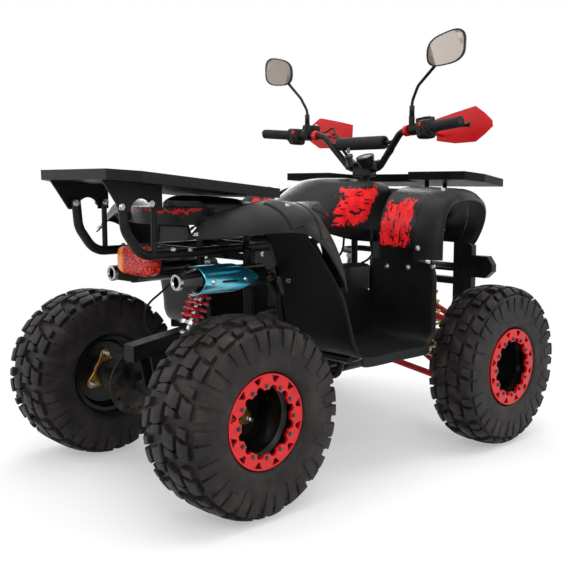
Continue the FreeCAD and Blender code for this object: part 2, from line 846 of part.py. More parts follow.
def muffler():
    """The right muffler, with a faceted rear cone and an open tip, along Y."""
    x = muffler_x
    z = muffler_height
    cone_end = muffler_tip_y + muffler_cone
    front = muffler_tip_y + muffler_length
    sides = 8
    wires = []
    for y, radius in ((muffler_tip_y, tip_radius), (cone_end, muffler_radius)):
        corners = []
        for i in range(sides):
            angle = 2 * math.pi * (i + 0.5) / sides
            corners.append(at(x + radius * math.cos(angle), y, z + radius * math.sin(angle)))
        wires.append(Part.makePolygon(corners + corners[:1]))
    cone = Part.makeLoft(wires, True, True)
    can = rod(at(x, cone_end, z), at(x, front - muffler_radius, z), muffler_radius)
    neck = Part.makeCone(muffler_radius, header_radius, muffler_radius,
                         at(x, front - muffler_radius, z), V(0, 1, 0))
    tip = rod(at(x, muffler_tip_y - 3, z), at(x, muffler_tip_y + 12, z), tip_radius)
    bore = rod(at(x, muffler_tip_y - 10, z), at(x, cone_end - 14, z), tip_bore_radius)
    return fused([cone, can, neck, tip]).cut(bore)


def exhaust_pipes():
    """The link pipe between the mufflers and the header from the head."""
    front = muffler_tip_y + muffler_length + seat_gap
    z = muffler_height
    link = bent_tube([at(-muffler_x, front, z), at(-muffler_x, front + 38, z),
                      at(-muffler_x + 60, front + 62, z - 22), at(muffler_x - 60, front + 62, z - 22),
                      at(muffler_x, front + 38, z), at(muffler_x, front, z)], header_radius, 30)
    port_y = crankcase_rear_y + crankcase_length + fin_count * fin_pitch + 24
    head_low = crankcase_low_z + crankcase_height / 2 + 6 - fin_size * 0.42
    run_z = head_low - seat_gap - 25
    header = bent_tube([at(22, port_y, head_low - seat_gap), at(22, port_y, run_z),
                        at(140, port_y - 70, run_z), at(142, 380, run_z), at(142, 316, run_z + 110),
                        at(130, front + 62, z - 60), at(muffler_x - 70, front + 62, z - 22)],
                       header_radius, 40)
    return fused([link, header])


def heat_shield():
    """A half sleeve over the right muffler, pointed at the front, with a slot."""
    start = muffler_tip_y + shield_start
    inner = muffler_radius + seat_gap
    outer = inner + shield_wall
    sleeve = ring_of(at(muffler_x, start, muffler_height),
                     at(muffler_x, start + shield_length, muffler_height), outer, inner)
    reach = 2 * outer
    keep = slab([at(muffler_x - outer * 0.3, start - cut_margin, muffler_height - reach),
                 at(muffler_x + reach, start - cut_margin, muffler_height - reach),
                 at(muffler_x + reach, start + shield_length + cut_margin, muffler_height - reach),
                 at(muffler_x - outer * 0.3, start + shield_length + cut_margin,
                    muffler_height - reach)], V(0, 0, 2 * reach))
    point = slab([at(muffler_x - reach, start, muffler_height - outer),
                  at(muffler_x - reach, start + shield_length * 0.62, muffler_height - outer * 1.1),
                  at(muffler_x - reach, start + shield_length, muffler_height),
                  at(muffler_x - reach, start + shield_length * 0.62, muffler_height + outer * 1.1),
                  at(muffler_x - reach, start, muffler_height + outer)], V(2 * reach, 0, 0))
    slot = block(at(muffler_x, start + 50, muffler_height - 3),
                 at(muffler_x + reach, start + 92, muffler_height + 3))
    return sleeve.common(keep).common(point).cut(slot)


def flare_lines():
    """The rear flare's crest line and lip line, as matching points."""
    length = flare_rear_reach + flare_front_reach
    height = flare_top_z - flare_low_z
    lines = []
    for half, shares in ((flare_inner_x, flare_crest_shares), (flare_outer_x, flare_lip_shares)):
        lines.append([at(half * x, length * y - flare_rear_reach, flare_low_z + height * z)
                      for x, y, z in shares])
    return lines


def rear_flare():
    """A flare over the right rear wheel: a quarter-round bulge between its crease and its lip."""
    crease, lip = flare_lines()
    grid = []
    for top, low in zip(crease, lip):
        row = []
        for k in range(6):
            turn = math.pi / 2 * k / 5
            blend = V(low)
            blend.x = top.x + (low.x - top.x) * math.sin(turn)
            blend.y = low.y + (top.y - low.y) * math.cos(turn)
            blend.z = low.z + (top.z - low.z) * math.cos(turn)
            row.append(blend)
        grid.append(row)
    return skin(grid, panel_wall)


def rear_fender():
    """One moulding: a deck each side of the seat with its front lobe, and the tail cowl."""
    crest = flare_lines()[0]
    inner = seat_half_width + seat_clearance
    grid = []
    for point in crest[:7]:
        edge = point.x - fender_seam
        row = []
        for k in range(6):
            share = k / 5
            dip = deck_dip * math.sin(math.pi / 2 * (1 - share)) ** 2
            row.append(V(mixed(inner, edge, share), point.y, point.z - dip))
        grid.append(row)
    deck = skin(grid, panel_wall)
    start = crest[6]
    lobe_grid = []
    for i in range(5):
        share = i / 4
        outer = mixed(start.x - fender_seam, inner + lobe_width, share)
        row = []
        for k in range(6):
            x = mixed(inner, outer, k / 5)
            y = mixed(start.y - lobe_lap, rear_axle_y + deck_front_y, share)
            droop = lobe_drop * share * (k / 5) ** 2
            level = start.z - deck_dip * math.sin(math.pi / 2 * (1 - k / 5)) ** 2 * (1 - share)
            row.append(V(x, y, level + lobe_rise * math.sin(math.pi * share) - droop))
        lobe_grid.append(row)
    lobe = skin(lobe_grid, panel_wall)
    halves = [deck, lobe, mirrored(deck), mirrored(lobe)]
    return fused(halves + [tail_cowl()])


def cowl_outline(inset, z):
    """The cowl's plan: straight sides and a rounded back, drawn some way inside its edge."""
    half = seat_half_width + seat_clearance + panel_wall - inset
    curve = Part.BSplineCurve()
    points = []
    for i in range(9):
        angle = math.pi * i / 8
        points.append(at(half * math.cos(angle), cowl_bend_y - (cowl_depth - inset)
                         * math.sin(angle), z))
    curve.interpolate(points)
    front = [at(-half, cowl_front_y, z), at(half, cowl_front_y, z)]
    edges = [curve.toShape(), Part.makeLine(points[-1], front[0]), Part.makeLine(front[0], front[1]),
             Part.makeLine(front[1], points[0])]
    return Part.Face(Part.Wire(edges))


def tail_cowl():
    """A rim round the seat's back: a shelf on top and a wall below it, open underneath."""
    outer = cowl_outline(0, cowl_low_z).extrude(V(0, 0, cowl_top_z - cowl_low_z))
    hollow = cowl_outline(panel_wall, cowl_low_z - cut_margin)
    hollow = hollow.extrude(V(0, 0, cowl_top_z - cowl_low_z + cut_margin - panel_wall))
    return outer.cut(hollow)


def seat():
    """The padded seat: rounded sections, broad behind and narrow at the tank."""
    sections = []
    for share, width, low, top in seat_shares:
        y = mixed(seat_rear_y, seat_front_y, share)
        half = seat_half_width * width
        base = mixed(seat_low_z, seat_top_z, low)
        crown = mixed(seat_low_z, seat_top_z, top)
        points = []
        for i in range(16):
            angle = 2 * math.pi * i / 16
            c = math.cos(angle)
            s = math.sin(angle)
            points.append(at(half * math.copysign(abs(c) ** 0.5, c), y,
                             mixed(base, crown, 0.5 + 0.5 * math.copysign(abs(s) ** 0.5, s))))
        sections.append(points)
    return lofted(sections)


def tank_cover():
    """The cover over the tank: arched sections open below."""
    grid = []
    for share, width, top, low in ((0.0, 0.78, 0.84, 0.42), (0.12, 0.90, 0.94, 0.24),
                                   (0.3, 0.98, 0.98, 0.10), (0.55, 1.0, 1.0, 0.04),
                                   (0.8, 0.99, 1.0, 0.0), (1.0, 0.94, 0.96, 0.0)):
        y = mixed(tank_rear_y, tank_front_y, share)
        row = []
        for k in range(11):
            angle = math.pi * k / 10
            c = math.cos(angle)
            x = tank_half_width * width * math.copysign(abs(c) ** 0.55, c)
            foot = mixed(tank_low_z, tank_top_z, low)
            crown = mixed(tank_low_z, tank_top_z, top)
            row.append(at(x, y, mixed(foot, crown, math.sin(angle) ** 0.6)))
        grid.append(row)
    return skin(grid, -panel_wall)


def hood_station(i):
    """The hood's profile point i and its outward direction in the side view."""
    height = hood_top_z - hood_low_z
    length = hood_front_y - hood_rear_y
    spots = [V(0, hood_rear_y + length * y, hood_low_z + height * z)
             for y, z in hood_profile_shares]
    ahead = spots[min(i + 1, len(spots) - 1)]
    behind = spots[max(i - 1, 0)]
    run = V(ahead - behind).normalize()
    return spots[i], V(0, -run.z, run.y)


def hood_under(y, x):
    """The height just below the hood's inner face at a place."""
    height = hood_top_z - hood_low_z
    share = (y - hood_rear_y) / (hood_front_y - hood_rear_y)
    for (y0, z0), (y1, z1) in zip(hood_profile_shares, hood_profile_shares[1:]):
        if y0 <= share <= y1:
            slope = abs(z1 - z0) * height / ((y1 - y0) * (hood_front_y - hood_rear_y))
            rise = mixed(z0, z1, (share - y0) / (y1 - y0)) * height
            crown = 8 * (1 - (x / (hood_half_width - hood_lip_width)) ** 2)
            return hood_low_z + rise + crown - panel_wall - seat_gap - slope * small_tube_radius
    return hood_low_z


def front_fender():
    """The front body over both wheels, with a window for the tank and holes for the lamps."""
    grid = []
    for i in range(len(hood_profile_shares)):
        spot, outward = hood_station(i)
        half = hood_half_width * hood_width_shares[i] - hood_lip_width - 3 * seat_gap
        row = []
        for k in range(9):
            share = 2 * k / 8 - 1
            place = spot + outward * (8 * (1 - share * share))
            row.append(at(half * share, place.y, place.z))
        grid.append(row)
    body = skin(grid, panel_wall)
    window = block(at(-hood_window_half_width, hood_rear_y - 40, hood_low_z - 60),
                   at(hood_window_half_width, hood_window_front_y, hood_top_z + 60))
    trim = block(at(-hood_half_width, hood_rear_y - 40, hood_low_z - 60),
                 at(hood_half_width, hood_rear_y + 60, hood_wall_low_z))
    holes = [rod(at(side * lamp_x, hood_front_y - 150, lamp_height),
                 at(side * lamp_x, hood_front_y + 60, lamp_height), lamp_radius + seat_gap)
             for side in (1, -1)]
    holes += [rod(foot, foot + V(0, 0, 200), rack_strut_radius + seat_gap)
              for foot in rack_strut_feet()]
    return body.cut([window, trim] + holes)


def front_flare():
    """The rounded lip along the right edge of the front body."""
    grid = []
    for i in range(len(hood_profile_shares)):
        spot, outward = hood_station(i)
        half = hood_half_width * hood_width_shares[i]
        row = []
        for k in range(6):
            turn = math.pi / 2 * k / 5
            x = half - hood_lip_width + hood_lip_width * math.sin(turn)
            place = spot - outward * (hood_lip_drop * (1 - math.cos(turn)))
            row.append(at(x, place.y, place.z))
        grid.append(row)
    return skin(grid, panel_wall)


def headlamp():
    """A round headlamp set in the nose."""
    middle = at(lamp_x, hood_front_y - 62, lamp_height)
    body = rod(middle, middle + V(0, lamp_depth, 0), lamp_radius)
    return body.makeFillet(lamp_radius / 5, [edge for edge in body.Edges
                                             if edge.BoundBox.YMin > middle.y + lamp_depth / 2])


def foot_well():
    """The right foot well: splash wall, tray and front wall bent from one sheet, with a skirt."""
    corner = well_corner
    path = [at(0, well_rear_y - 2, well_rear_top_z), at(0, well_rear_y, well_floor_z + 2 * corner),
            at(0, well_rear_y + corner, well_floor_z), at(0, well_front_y - 2 * corner, well_floor_z),
            at(0, well_front_y, well_floor_z + corner), at(0, well_front_y + 2, well_front_top_z)]
    outer = []
    for i, point in enumerate(path):
        before = path[max(i - 1, 0)]
        after = path[min(i + 1, len(path) - 1)]
        run = V(after - before).normalize()
        outer.append(point + V(0, run.z, -run.y) * well_wall)
    sheet = slab([V(well_inner_x, p.y, p.z) for p in path + outer[::-1]],
                 V(well_outer_x - well_inner_x, 0, 0))
    x = well_outer_x - tray_inset
    top = well_floor_z - well_wall / 2
    skirt = slab([at(x, well_rear_y + corner, top), at(x, well_front_y - 2.4 * corner, top),
                  at(x, well_front_y - 2.6 * corner, well_floor_z - tray_skirt * 0.6),
                  at(x, well_rear_y + 1.4 * corner, well_floor_z - tray_skirt)],
                 V(well_wall, 0, 0))
    return fused([sheet, skirt])


def sloped(points, rear_y, front_y, rear_z, front_z):
    """Points of a plan set on a slope from one height to another."""
    return [at(x, y, mixed(rear_z, front_z, (y - rear_y) / (front_y - rear_y)))
            for x, y in points]


def tray(plan, rear_y, front_y, rear_z, front_z, pockets):
    """A rack: a rimmed plate on a slope with pockets sunk into its top."""
    outline = sloped(plan, rear_y, front_y, rear_z - rack_rim, front_z - rack_rim)
    body = slab(outline, V(0, 0, rack_rim))
    tools = []
    for x0, x1, y0, y1 in pockets:
        corners = sloped([(x0, y0), (x1, y0), (x1, y1), (x0, y1)], rear_y, front_y,
                         rear_z - rack_rim + rack_floor, front_z - rack_rim + rack_floor)
        tools.append(slab(corners, V(0, 0, rack_rim)))
    return body.cut(tools)


def rear_rack():
    """The rear carrier: a rimmed plate with ribs, and two gussets below with arch cut-outs."""
    half = rack_half_width
    plan = [(-half + rack_chamfer, rack_rear_y), (half - rack_chamfer, rack_rear_y),
            (half, rack_rear_y + rack_chamfer), (half, rack_front_y), (-half, rack_front_y),
            (-half, rack_rear_y + rack_chamfer)]
    pockets = []
    columns = 5
    step = (2 * (half - rack_chamfer) + rack_rib) / columns
    for i in range(columns):
        left = -half + rack_chamfer + i * step
        pockets.append((left, left + step - rack_rib, rack_rear_y + 2 * rack_rib,
                        rack_front_y - rack_rib))
    plate = tray(plan, rack_rear_y, rack_front_y, rack_rear_top_z, rack_front_top_z, pockets)
    x = rack_tube_x + rack_tube_radius + seat_gap
    outline = [(rack_rear_y + rack_floor, 0), (rack_bolt_y - gusset_tab, rack_bolt_z - gusset_tab),
               (gusset_front_y, rack_bolt_z - gusset_tab), (gusset_front_y, 0)]
    corners = [at(x, y, z if z else rack_under(y) + rack_floor / 2) for y, z in outline]
    gusset = slab(corners, V(gusset_thickness, 0, 0))
    arch = across(x, (rack_bolt_y + rack_strut_y) / 2, rack_bolt_z - gusset_tab,
                  4 * gusset_thickness, gusset_arch_radius)
    gusset = gusset.cut(arch)
    return fused([plate, gusset, mirrored(gusset)])


def rack_under(y):
    """The height of the rear rack's underside at a place along it."""
    share = (y - rack_rear_y) / (rack_front_y - rack_rear_y)
    return mixed(rack_rear_top_z, rack_front_top_z, share) - rack_rim


def rack_tubes():
    """The bent tubes and the thin struts that hold the rear rack, with a tie between them."""
    top = top_rail_height - 6
    main = bent_tube([at(rack_tube_x, rack_bolt_y, rack_bolt_z + gusset_tab),
                      at(rack_tube_x, rack_bolt_y + 6, rack_bolt_z - 60),
                      at(rack_tube_x, rack_bolt_y + 50, top), at(rack_tube_x, 30 - seat_gap, top)],
                     rack_tube_radius, 60)
    strut_x = rack_tube_x + rack_tube_radius - rack_strut_radius
    strut = rod(at(strut_x, rack_strut_y, top), at(strut_x, rack_strut_y, rack_bolt_z + gusset_tab),
                rack_strut_radius)
    plate_y = lamp_rear_y + tail_depth + seat_gap
    tie = across(0, plate_y + bracket_wall, top, 2 * rack_tube_x, rack_strut_radius)
    plate = block(at(-tail_half_width * 0.8, plate_y, tail_low_z + bracket_wall),
                  at(tail_half_width * 0.8, plate_y + bracket_wall, tail_top_z))
    tie_front = block(at(-rack_tube_x, plate_y - rack_tube_radius, top - rack_tube_radius),
                      at(rack_tube_x, plate_y, top + rack_tube_radius))
    return fused([main, strut, mirrored(main), mirrored(strut), tie.cut(tie_front), plate])


def rack_strut_feet():
    """The four feet of the front rack's struts, just under the hood."""
    feet = []
    for side in (1, -1):
        for x, y in ((front_rack_inner_x + 30, front_rack_bridge_y - 30),
                     (front_rack_inner_x, front_rack_front_y - 140)):
            feet.append(at(side * x, y, hood_under(y, x) - 30))
    return feet


def front_rack():
    """The front carrier: a plate notched behind for the steering, on four thin struts."""
    half = front_rack_half_width
    nose = front_rack_nose_half_width
    inner = front_rack_inner_x
    plan = [(-half, front_rack_rear_y), (-inner, front_rack_rear_y),
            (-inner + 20, front_rack_bridge_y), (inner - 20, front_rack_bridge_y),
            (inner, front_rack_rear_y), (half, front_rack_rear_y),
            (half - 8, mixed(front_rack_rear_y, front_rack_front_y, 0.35)),
            (nose, front_rack_front_y), (-nose, front_rack_front_y),
            (-half + 8, mixed(front_rack_rear_y, front_rack_front_y, 0.35))]
    pockets = [(x, x + 78, front_rack_bridge_y + 20, front_rack_front_y - 24)
               for x in (-235, -137, -39, 59, 157)]
    plate = tray(plan, front_rack_rear_y, front_rack_front_y, front_rack_top_z,
                 front_rack_nose_top_z, pockets)
    struts = []
    for foot in rack_strut_feet():
        share = (foot.y - rear_axle_y - front_rack_rear_y) / (front_rack_front_y - front_rack_rear_y)
        top = mixed(front_rack_top_z, front_rack_nose_top_z, share) - rack_rim + rack_floor / 2
        struts.append(rod(foot, V(foot.x, foot.y, top), rack_strut_radius))
    return fused([plate] + struts)


def bumper():
    """The front guard: two uprights, two cross bars and hexagonal wings, on two brackets."""
    y = wheelbase + bumper_overhang - bumper_thickness
    deep = V(0, bumper_thickness, 0)
    x0 = bumper_plate_x - bumper_plate_width / 2
    x1 = bumper_plate_x + bumper_plate_width / 2
    middle = (bumper_wing_low_z + bumper_wing_top_z) / 2
    upright = slab([at(x0, y, bumper_low_z), at(x1, y, bumper_low_z), at(x1, y, bumper_top_z - 14),
                    at(x1 - 20, y, bumper_top_z), at(x0, y, bumper_top_z)], deep)
    wing = slab([at(x1 - 10, y, bumper_wing_low_z), at(bumper_wing_x - 26, y, bumper_wing_low_z),
                 at(bumper_wing_x, y, middle - 14), at(bumper_wing_x, y, middle + 10),
                 at(bumper_wing_x - 20, y, bumper_wing_top_z), at(x1 - 10, y, bumper_wing_top_z)],
                deep)
    bars = [block(at(-x0 - 10, y, z), at(x0 + 10, y + bumper_thickness, z + bumper_bar_height))
            for z in (middle - 22, middle - 68)]
    bracket = bent_tube([at(front_half_width, wheelbase + arm_spread + 20 + seat_gap,
                            rail_height - 9),
                         at(front_half_width, y - 110, rail_height - 9),
                         at(bumper_plate_x - 40, y - 60, rail_height + 20),
                         at(bumper_plate_x - 20, y + 8, bumper_low_z + 30)], small_tube_radius, 40)
    stay = rod(at(bumper_plate_x - 20, wheelbase + arm_spread + tube_radius + seat_gap, 520),
               at(bumper_plate_x - 20, y + 8, 500), small_tube_radius)
    half = [upright, wing, bracket, stay]
    return fused(half + [mirrored(piece) for piece in half] + bars)


def tail_lamp():
    """The tail lamp: a bowed lens on a flat housing."""
    sections = []
    for share, rise, reach in ((-1.0, 0.55, 0.35), (-0.7, 0.95, 0.8), (0.0, 1.0, 1.0),
                               (0.7, 0.95, 0.8), (1.0, 0.55, 0.35)):
        middle = (tail_low_z + tail_top_z) / 2
        half = (tail_top_z - tail_low_z) / 2 * rise
        front = lamp_rear_y + tail_depth
        back = front - tail_depth * reach
        x = tail_half_width * share
        corners = [at(x, front, middle - half), at(x, front, middle + half),
                   at(x, mixed(front, back, 0.8), middle + half * 0.9),
                   at(x, back, middle + half * 0.2), at(x, mixed(front, back, 0.75),
                                                        middle - half * 0.9)]
        sections.append(Part.makePolygon(corners + corners[:1]))
    return Part.makeLoft(sections, True, True)


def arm_tie_point():
    """How far out and how high the lower wishbone's tie tube is at its middle."""
    outer_x = kingpin_x - kingpin_radius * 0.6
    inner_x = front_half_width + tube_radius + arm_bush_radius + seat_gap
    outer_z = kingpin_low_z - seat_gap - arm_eye_height / 2
    return V(mixed(outer_x, inner_x, arm_tie_share), 0,
             mixed(outer_z, rail_height - 9, arm_tie_share))


def arm(inner_z, outer_z, eye_up):
    """A right-hand wishbone: two tubes from the frame bushes to one eye at the kingpin."""
    x0 = front_half_width + tube_radius + arm_bush_radius + seat_gap
    eye_low = at(kingpin_x, wheelbase, outer_z)
    eye = rod(eye_low, eye_low + V(0, 0, arm_eye_height), kingpin_radius)
    middle = eye_low + V(-kingpin_radius * 0.6, 0, arm_eye_height / 2)
    pieces = [eye]
    for side in (-1, 1):
        y = wheelbase + side * arm_spread
        bush = at(x0, y, inner_z)
        pieces.append(rod(bush - V(0, arm_bush_length / 2, 0), bush + V(0, arm_bush_length / 2, 0),
                          arm_bush_radius))
        pieces.append(rod(bush, middle, arm_tube_radius))
    if not eye_up:
        ends = [mixed_point(middle, at(x0, wheelbase + side * arm_spread, inner_z), arm_tie_share)
                for side in (-1, 1)]
        pieces.append(rod(ends[0], ends[1], arm_tube_radius))
    body = fused(pieces)
    pin = rod(eye_low - V(0, 0, arm_eye_height), eye_low + V(0, 0, 2 * arm_eye_height),
              pin_radius + axle_running_fit)
    return body.cut(pin)


def front_arms():
    """Upper and lower wishbones on both sides."""
    lower = arm(rail_height - 9, kingpin_low_z - arm_eye_height - seat_gap, False)
    upper = arm(upper_arm_inner_z, kingpin_high_z + seat_gap, True)
    return Part.makeCompound([lower, upper, mirrored(lower), mirrored(upper)])


def knuckle():
    """The right knuckle: kingpin, pins, stub axle and steering arm with its ball pin."""
    post = rod(at(kingpin_x, wheelbase, kingpin_low_z), at(kingpin_x, wheelbase, kingpin_high_z),
               kingpin_radius)
    reach = arm_eye_height + 4
    pins = rod(at(kingpin_x, wheelbase, kingpin_low_z - reach),
               at(kingpin_x, wheelbase, kingpin_high_z + reach), pin_radius)
    boss = across(mixed(kingpin_x, front_dish_x - front_hub_length, 0.5), wheelbase, front_wheel_z,
                  front_dish_x - front_hub_length - kingpin_x, 1.9 * stub_radius)
    stub = rod(at(kingpin_x, wheelbase, front_wheel_z),
               at(front_dish_x + front_hub_length * 0.35 + 6, wheelbase, front_wheel_z), stub_radius)
    low = rod_eye_z() + eye_height + seat_gap
    tip = wheelbase - pitman_reach
    wide = kingpin_radius * 0.7
    lever = slab([at(kingpin_x - wide, wheelbase, low), at(kingpin_x + wide, wheelbase, low),
                  at(kingpin_x + pin_radius, tip, low), at(kingpin_x - pin_radius, tip, low)],
                 V(0, 0, lever_thickness))
    end = rod(at(kingpin_x, tip, low), at(kingpin_x, tip, low + lever_thickness), eye_radius)
    ball = rod(at(kingpin_x, tip, low + pin_overhang),
               at(kingpin_x, tip, rod_eye_z() - pin_overhang), pin_radius)
    return fused([post, pins, boss, stub, lever, end, ball])


def rod_eye_z():
    """The height of the underside of the tie rods' outer eyes."""
    return stem_foot_z - lever_play - 1.5 * eye_height


def tie_rod(drop):
    """A right tie rod: an eye on the knuckle's pin, and one on the stem's pin at its own height."""
    tip = wheelbase - pitman_reach
    outer = at(kingpin_x, tip, rod_eye_z())
    inner = at(0, tip, stem_foot_z - lever_play - eye_height - drop)
    lift = V(0, 0, eye_height)
    inner_radius = pin_radius + open_eye_play
    eyes = [rod(outer, outer + lift, eye_radius), rod(inner, inner + lift, inner_radius + pin_radius)]
    bar = rod(outer + lift / 2, inner + lift / 2, link_radius * 0.8)
    body = fused(eyes + [bar])
    bores = [rod(outer - lift, outer + lift * 2, pin_radius + axle_running_fit),
             rod(inner - lift, inner + lift * 2, inner_radius)]
    return body.cut(bores)


def steering_stem():
    """The stem, its bar clamp at the top and the arm at its foot with the tie rods' pin."""
    stem = rod(stem_point(stem_foot_z), stem_point(stem_top_z - bar_radius - clamp_wall),
               stem_radius)
    clamp = block(at(-clamp_half_width, stem_top_y - clamp_half_depth, stem_top_z - clamp_drop),
                  at(clamp_half_width, stem_top_y + clamp_half_depth,
                     stem_top_z + bar_radius + clamp_wall))
    clamp = clamp.makeFillet(clamp_wall / 2, clamp.Edges)
    seat_cut = across(0, stem_top_y, stem_top_z, 4 * clamp_half_width, bar_radius + seat_gap)
    tip = wheelbase - pitman_reach
    back = wheelbase + stem_radius
    lever = slab([at(-stem_radius * 1.6, back, stem_foot_z), at(stem_radius * 1.6, back, stem_foot_z),
                  at(eye_radius, tip - eye_radius, stem_foot_z),
                  at(-eye_radius, tip - eye_radius, stem_foot_z)], V(0, 0, lever_thickness))
    pin = rod(at(0, tip, stem_foot_z + pin_overhang),
              at(0, tip, stem_foot_z - lever_play - 2 * eye_height - seat_gap - pin_overhang),
              pin_radius)
    return fused([stem, clamp, lever, pin]).cut(seat_cut)


def bar_points(side):
    """The handlebar's route on one side, from the clamp to the grip's end."""
    return [at(side * 62, stem_top_y, stem_top_z),
            at(side * bar_rise_x, bar_rise_y, bar_rise_z),
            at(side * bar_end_x, bar_end_y, bar_end_z)]


def bar_along(distance):
    """A point on the right grip's line, measured inwards from the bar's end, and its direction."""
    rise = at(bar_rise_x, bar_rise_y, bar_rise_z)
    end = at(bar_end_x, bar_end_y, bar_end_z)
    inward = V(rise - end).normalize()
    return end + inward * distance, inward


def handlebar():
    """The bent bar in one piece."""
    bar = bent_tube(bar_points(-1)[::-1] + bar_points(1), bar_radius, 45)
    share = (pad_z - stem_top_z) / (bar_rise_z - stem_top_z)
    reach = mixed(62, bar_rise_x, share)
    return fused([bar, across(0, mixed(stem_top_y, bar_rise_y, share), pad_z, 2 * reach, 6.0)])


def bar_pad():
    """The padded cross bar between the risers."""
    share = (pad_z - stem_top_z) / (bar_rise_z - stem_top_z)
    y = mixed(stem_top_y, bar_rise_y, share)
    pad = across(0, y, pad_z, 2 * pad_half_length, pad_radius)
    pad = pad.makeFillet(pad_radius / 3, [edge for edge in pad.Edges if len(edge.Vertexes) == 1])
    return pad.cut(across(0, y, pad_z, 3 * pad_half_length, 6.0 + seat_gap))


def grip():
    """A right-hand grip: a sleeve with a flange, closed at its end by the bar."""
    outer = bar_along(0)[0]
    inner = bar_along(grip_length)[0]
    flange = bar_along(grip_length - 5)[0]
    body = fused([rod(outer, inner, grip_radius), rod(flange, inner, grip_radius + 5)])
    axis = V(inner - outer).normalize() * cut_margin
    return body.cut(rod(outer - axis, inner + axis, bar_radius + seat_gap))


def control():
    """A right-hand control: a split housing, a lever perch and the lever ahead of the grip."""
    start = bar_along(grip_length + 2)[0]
    end = bar_along(grip_length + 2 + housing_length)[0]
    body = rod(start, end, housing_radius)
    perch_start = bar_along(grip_length + housing_length)[0]
    perch_end = bar_along(grip_length + housing_length + 38)[0]
    perch = rod(perch_start, perch_end, housing_radius * 0.85)
    ahead = V(0, 1, -0.12).normalize()
    knuckle_point = perch_end + ahead * 34
    boss = rod(perch_end, knuckle_point, 9)
    lever_mid = bar_along(grip_length * 0.9)[0] + ahead * 44
    lever_tip = bar_along(grip_length * 0.12)[0] + ahead * 56
    lever = bent_tube([knuckle_point, lever_mid, lever_tip], 5.5, 60)
    ball = Part.makeSphere(8, lever_tip)
    mirror_boss = rod(at(mirror_foot_x, mirror_foot_y, bar_rise_z + 4),
                      at(mirror_foot_x, mirror_foot_y, mirror_boot_z - 30), 9)
    body = fused([body, perch, boss, lever, ball, mirror_boss])
    far = bar_along(grip_length + housing_length + 60)[0]
    near = bar_along(grip_length - 20)[0]
    return body.cut(rod(near, far, bar_radius + seat_gap))


def guard_bow(x):
    """How far ahead the guard stands at a place across: it sweeps back towards the bar's end."""
    share = max(0.0, (x - guard_inner_x) / (guard_outer_x - guard_inner_x))
    return guard_y - guard_sweep * share * share


def hand_guard():
    """A right-hand guard: a bowed plate ahead of the lever, with a stay to the bar."""
    width = guard_outer_x - guard_inner_x
    height = guard_top_z - guard_low_z
    outline = []
    for x_share, z_share in guard_outline_shares:
        outline.append(at(guard_inner_x + width * x_share, guard_y - 2 * guard_sweep,
                          guard_low_z + height * z_share))
    blank = slab(outline, V(0, 3 * guard_sweep, 0))
    faces = []
    for offset in (0, guard_wall):
        curve = Part.BSplineCurve()
        curve.interpolate([at(guard_inner_x + width * (i / 6 * 1.1 - 0.05),
                              guard_bow(guard_inner_x + width * (i / 6 * 1.1 - 0.05)) + offset,
                              guard_low_z - guard_wall) for i in range(7)])
        faces.append(curve.toShape())
    strip = Part.makeRuledSurface(faces[0], faces[1])
    plate = strip.extrude(V(0, 0, height + 2 * guard_wall)).common(blank)
    root = bar_along(grip_length + housing_length + 54)[0]
    collar = rod(root, bar_along(grip_length + housing_length + 68)[0], bar_radius + 6)
    foot = at(guard_inner_x + guard_stay_inset, guard_y + guard_wall / 2, mixed(guard_low_z, guard_top_z, 0.25))
    stay = bent_tube([root + V(-7, 10, 2), root + V(-7, 60, 2), foot], guard_stay_radius, 20)
    body = fused([plate, collar, stay])
    far = bar_along(grip_length + housing_length + 90)[0]
    return body.cut(rod(bar_along(grip_length)[0], far, bar_radius + seat_gap))


def mirror_outline(scale, y):
    """The mirror's rounded outline, drawn at a share of its size."""
    points = []
    for i in range(14):
        angle = 2 * math.pi * i / 14
        swell = 1 + 0.10 * math.cos(angle)
        points.append(at(mirror_x + mirror_half_width * scale * math.cos(angle), y,
                         mirror_z + mirror_half_height * scale * swell * math.sin(angle)
                         + 0.2 * mirror_half_height * math.cos(angle)))
    return points


def mirror():
    """A right-hand mirror: a bowl on a bent stem with a boot at its foot."""
    back = mirror_y + mirror_depth
    bowl = lofted([mirror_outline(1.0, mirror_y), mirror_outline(0.97, mirror_y + mirror_depth / 2),
                   mirror_outline(0.75, back)])
    curve = Part.BSplineCurve()
    curve.interpolate(mirror_outline(0.93, mirror_y - 1), PeriodicFlag=True)
    recess = Part.Face(Part.Wire(curve.toShape())).extrude(V(0, 5, 0))
    foot = at(mirror_foot_x, mirror_foot_y, mirror_boot_z - 30 + seat_gap)
    stem = bent_tube([foot, at(mirror_foot_x, mirror_foot_y, mirror_boot_z + 12),
                      at(mirror_foot_x + 26, mirror_foot_y - 6, mirror_boot_z + 56),
                      at(mirror_x - mirror_half_width * 0.55, back - 7,
                         mirror_z - mirror_half_height * 0.8)], mirror_stem_radius, 40)
    boot = rod(foot, at(mirror_foot_x, mirror_foot_y, mirror_boot_z), 8)
    return fused([bowl.cut(recess), stem, boot])


def mirror_glass():
    """The glass in the mirror's recess."""
    curve = Part.BSplineCurve()
    curve.interpolate(mirror_outline(0.92, mirror_y + 1), PeriodicFlag=True)
    return Part.Face(Part.Wire(curve.toShape())).extrude(V(0, 3 - seat_gap, 0))


